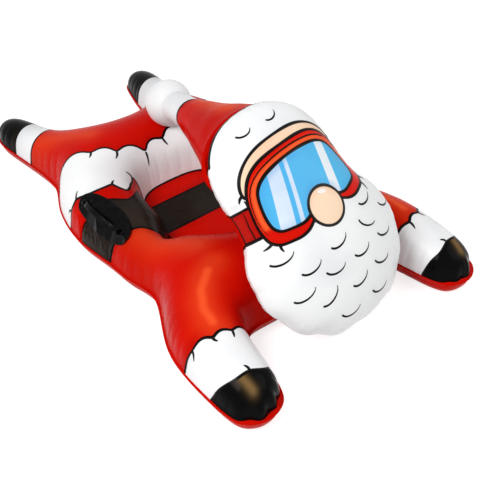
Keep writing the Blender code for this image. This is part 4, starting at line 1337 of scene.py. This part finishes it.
def makePompom(root, tip, across, upwards):
    centre = pompomCentre()
    bm = bmesh.new()
    spot = Matrix.Translation(centre + (tip - centre).normalized() * pompom["lean"])
    bmesh.ops.create_icosphere(bm, subdivisions=5, radius=pompom["radius"] + pompom["fluff"], matrix=spot)
    start = tip + (centre - tip).normalized() * pompom["seamGap"]
    end = root.lerp(centre, pompom["neckShare"])
    inset = 2 * pompom["inset"]
    near = ovalRing(bm, start, across, upwards, tail["tipWidth"] - inset, tail["tipDepth"] - inset, tail["sides"])
    neckWidth = pompom["neckWidth"] - inset
    far = ovalRing(bm, end, across, upwards, neckWidth, neckWidth, tail["sides"])
    skinned(bm, [near, far])
    mesh = bpy.data.meshes.new("pompom")
    bm.to_mesh(mesh)
    bm.free()
    piece = bpy.data.objects.new("pompom", mesh)
    scene.collection.objects.link(piece)
    remesh = piece.modifiers.new("fine", "REMESH")
    remesh.mode = "VOXEL"
    remesh.voxel_size = pompom["voxel"]
    smooth = piece.modifiers.new("soft", "SMOOTH")
    smooth.factor = 0.5
    smooth.iterations = pompom["rounds"]
    piece.modifiers.new("round", "SUBSURF").levels = 1
    made = applied(piece)
    made.materials.clear()
    bpy.data.objects.remove(piece)
    normals = normalsOf(made)
    for vertex, normal in zip(made.vertices, normals):
        lump = noise.noise((vertex.co - centre) * 22) * pompom["swell"]
        vertex.co += Vector(normal) * min(0, lump)
        hit = bodyTree.ray_cast(Vector((vertex.co.x, vertex.co.y, 1)), Vector((0, 0, -1)))[0]
        if hit and vertex.co.z < hit.z + head["restGap"]:
            vertex.co.z = hit.z + head["restGap"]
    stored(made, "ink", np.ones(len(made.vertices)))
    piece = pieceOf("pompomSkin", made, [vinyl["white"]])
    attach(piece, "sled")
    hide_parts("pompom")
    print("pompom:", len(made.polygons), "faces")


makePompom(*makeTail())


# Side handles

handle = {
    "voxel": 1.4 * mm, "smoothRounds": 8,
    "halfLength": 69.6 * mm, "rise": 21 * mm, "width": 14 * mm, "thickness": 5 * mm, "arch": 2.6,
    "corner": 0.6, "ribs": 15, "ribHeight": 0.7 * mm, "ribShare": 0.72,
    "pinRadius": 3 * mm, "pinRoot": 5 * mm, "pinLength": 10 * mm, "rings": 181, "sides": 28,
}


def moulded(name, base, rough, grainScale, grainDepth, level):
    material = bpy.data.materials.new(name)
    material.use_nodes = True
    nodes, links = material.node_tree.nodes, material.node_tree.links
    shader = nodes["Principled BSDF"]
    place = nodes.new("ShaderNodeTexCoord")

    def texture(scale, detail):
        made = nodes.new("ShaderNodeTexNoise")
        made.inputs["Scale"].default_value = scale
        made.inputs["Detail"].default_value = detail
        links.new(place.outputs["Object"], made.inputs["Vector"])
        return made.outputs["Fac"]

    ramp = nodes.new("ShaderNodeValToRGB")
    ramp.color_ramp.elements[0].position = 0.35
    ramp.color_ramp.elements[0].color = (*(c * 0.75 for c in base), 1)
    ramp.color_ramp.elements[1].position = 0.72
    ramp.color_ramp.elements[1].color = (*(min(1, c * 1.3) for c in base), 1)
    links.new(texture(38, 3), ramp.inputs["Fac"])
    links.new(ramp.outputs["Color"], shader.inputs["Base Color"])
    spread = nodes.new("ShaderNodeMapRange")
    spread.inputs["To Min"].default_value = rough - 0.08
    spread.inputs["To Max"].default_value = rough + 0.1
    links.new(texture(110, 3), spread.inputs["Value"])
    links.new(spread.outputs["Result"], shader.inputs["Roughness"])
    bump = nodes.new("ShaderNodeBump")
    bump.inputs["Strength"].default_value = 0.5
    bump.inputs["Distance"].default_value = grainDepth
    links.new(texture(grainScale, 2), bump.inputs["Height"])
    links.new(bump.outputs["Normal"], shader.inputs["Normal"])
    shader.inputs["Specular IOR Level"].default_value = level
    return material


rubber = moulded("handleRubber", (0.002, 0.002, 0.0022), 0.22, 900, 0.0002, 0.05)
valveVinyl = moulded("valveVinyl", (0.80, 0.80, 0.79), 0.34, 500, 0.0001, 0.3)


def makePad(side):
    node = frame["nodes"][side + "_handle_pad"]
    mesh = node.data.copy()
    piece = bpy.data.objects.new("pad", mesh)
    scene.collection.objects.link(piece)
    remesh = piece.modifiers.new("fine", "REMESH")
    remesh.mode = "VOXEL"
    remesh.voxel_size = handle["voxel"]
    smooth = piece.modifiers.new("soft", "SMOOTH")
    smooth.factor = 0.5
    smooth.iterations = handle["smoothRounds"]
    made = applied(piece)
    made.materials.clear()
    bpy.data.objects.remove(piece)
    pad = pieceOf(side + "HandlePad", made, [rubber])
    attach(pad, "sled")
    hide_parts(side + "_handle_pad")


def makeGrip(side):
    joint = next(j for j in frame["joints"] if j["name"] == side + "_grip_swing")
    along = Vector(joint["axis"]).normalized()
    home = Vector(joint["pos_m"])
    node = frame["nodes"][side + "_handle_grip"].data
    # the arch stands on the hinge line, on the side where most of the node lies
    middle = sum((v.co for v in node.vertices), Vector()) / len(node.vertices) - home
    out = (middle - along * middle.dot(along)).normalized()
    across = out.cross(along)
    place = Matrix((along, across, out)).transposed().to_4x4()
    place.translation = home
    bm = bmesh.new()
    rings = []
    half = handle["halfLength"]
    for index in range(handle["rings"]):
        share = -math.cos(math.pi * index / (handle["rings"] - 1))
        rise = handle["rise"] * (1 - abs(share) ** handle["arch"])
        slope = math.copysign(abs(share) ** (handle["arch"] - 1), share)
        lean = math.atan2(-handle["rise"] * handle["arch"] * slope, half)
        rib = 0.0
        if abs(share) < handle["ribShare"]:
            wave = math.cos(math.pi * handle["ribs"] * share / handle["ribShare"])
            rib = handle["ribHeight"] * max(-0.4, min(0.6, wave))
        ring = []
        for k in range(handle["sides"]):
            turn = 2 * math.pi * k / handle["sides"]
            c, s = math.cos(turn), math.sin(turn)
            y = handle["width"] / 2 * math.copysign(abs(c) ** handle["corner"], c)
            z = (handle["thickness"] / 2 - handle["ribHeight"] + rib) * math.copysign(abs(s) ** handle["corner"], s)
            ends = 0 if index in (0, handle["rings"] - 1) else 1
            ring.append(bm.verts.new((share * half - z * math.sin(lean) * ends, y, rise + z)))
        rings.append(ring)
    skinned(bm, rings)
    for way in (-1, 1):
        start, end = half - handle["pinRoot"], half + handle["pinLength"] - handle["pinRoot"]
        spot = Matrix.Translation((way * (start + end) / 2, 0, 0)) @ Matrix.Rotation(math.pi / 2, 4, "Y")
        bmesh.ops.create_cone(
            bm, cap_ends=True, segments=24, radius1=handle["pinRadius"], radius2=handle["pinRadius"],
            depth=end - start, matrix=spot,
        )
    bmesh.ops.recalc_face_normals(bm, faces=bm.faces[:])
    bm.transform(place)
    mesh = bpy.data.meshes.new("grip")
    bm.to_mesh(mesh)
    bm.free()
    grip = pieceOf(side + "HandleGrip", mesh, [rubber])
    grip.data.set_sharp_from_angle(angle=math.radians(50))
    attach(grip, side + "_grip")
    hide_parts(side + "_handle_grip")


for side in ("right", "left"):
    makePad(side)
    makeGrip(side)
print("handles made")

for name, node in frame["nodes"].items():
    if "_valve_" in name:
        node.data.materials.clear()
        node.data.materials.append(valveVinyl)


# Studio

studio = {
    "floorGlow": 0.74, "floorColour": 0.55, "skyLight": 0.48, "azimuth": -39.61, "elevation": 40.913,
    "lens": 57.86, "place": (-1.0344, -1.4461, 1.4325),
}


def seenDirectly(nodes, links):
    # 1 for rays that show the surface itself, in view or in a reflection
    way = nodes.new("ShaderNodeLightPath")
    result = way.outputs["Is Camera Ray"]
    for kind in ("Is Glossy Ray", "Is Transmission Ray"):
        larger = nodes.new("ShaderNodeMath")
        larger.operation = "MAXIMUM"
        links.new(result, larger.inputs[0])
        links.new(way.outputs[kind], larger.inputs[1])
        result = larger.outputs[0]
    return result


def makeFloor():
    bm = bmesh.new()
    bmesh.ops.create_grid(bm, x_segments=4, y_segments=4, size=14)
    mesh = bpy.data.meshes.new("floor")
    bm.to_mesh(mesh)
    bm.free()
    material = bpy.data.materials.new("paleFloor")
    material.use_nodes = True
    nodes, links = material.node_tree.nodes, material.node_tree.links
    nodes.clear()
    out = nodes.new("ShaderNodeOutputMaterial")
    plain = nodes.new("ShaderNodeBsdfDiffuse")
    plain.inputs["Color"].default_value = (0.8, 0.8, 0.8, 1)
    seen = nodes.new("ShaderNodeBsdfDiffuse")
    seen.inputs["Color"].default_value = (*[studio["floorColour"]] * 3, 1)
    glow = nodes.new("ShaderNodeEmission")
    glow.inputs["Strength"].default_value = studio["floorGlow"]
    added = nodes.new("ShaderNodeAddShader")
    links.new(seen.outputs[0], added.inputs[0])
    links.new(glow.outputs[0], added.inputs[1])
    mix = nodes.new("ShaderNodeMixShader")
    links.new(seenDirectly(nodes, links), mix.inputs[0])
    links.new(plain.outputs[0], mix.inputs[1])
    links.new(added.outputs[0], mix.inputs[2])
    links.new(mix.outputs[0], out.inputs["Surface"])
    mesh.materials.append(material)
    floor = bpy.data.objects.new("floor", mesh)
    floor.location.z = -0.5 * mm
    scene.collection.objects.link(floor)


def makeSky():
    world = bpy.data.worlds.new("studio")
    scene.world = world
    world.use_nodes = True
    nodes, links = world.node_tree.nodes, world.node_tree.links
    back = nodes["Background"]
    back.inputs["Color"].default_value = (1, 1, 1, 1)
    level = nodes.new("ShaderNodeMapRange")
    level.inputs["To Min"].default_value = studio["skyLight"]
    level.inputs["To Max"].default_value = 1
    links.new(seenDirectly(nodes, links), level.inputs["Value"])
    links.new(level.outputs["Result"], back.inputs["Strength"])


def makeLamp(name, place, size, power, target=(0, 0, 0.1)):
    lamp = bpy.data.lights.new(name, "AREA")
    lamp.shape = "DISK"
    lamp.size = size
    lamp.energy = power
    made = bpy.data.objects.new(name, lamp)
    made.location = place
    made.rotation_euler = (Vector(target) - Vector(place)).to_track_quat("-Z", "Y").to_euler()
    scene.collection.objects.link(made)


def makeCamera():
    lens = bpy.data.cameras.new("camera")
    lens.lens = studio["lens"]
    lens.sensor_width = 36
    made = bpy.data.objects.new("camera", lens)
    a, e = math.radians(studio["azimuth"]), math.radians(studio["elevation"])
    ahead = Vector((-math.sin(a) * math.cos(e), math.cos(a) * math.cos(e), -math.sin(e)))
    made.location = studio["place"]
    made.rotation_euler = ahead.to_track_quat("-Z", "Y").to_euler()
    scene.collection.objects.link(made)
    scene.camera = made


makeFloor()
makeSky()
makeLamp("keyLamp", (-2.2, -0.6, 2.6), 1.6, 72)
makeLamp("fillLamp", (1.8, -2.2, 2.2), 2.2, 26)
makeCamera()
scene.view_settings.view_transform = "Standard"
print("studio made")
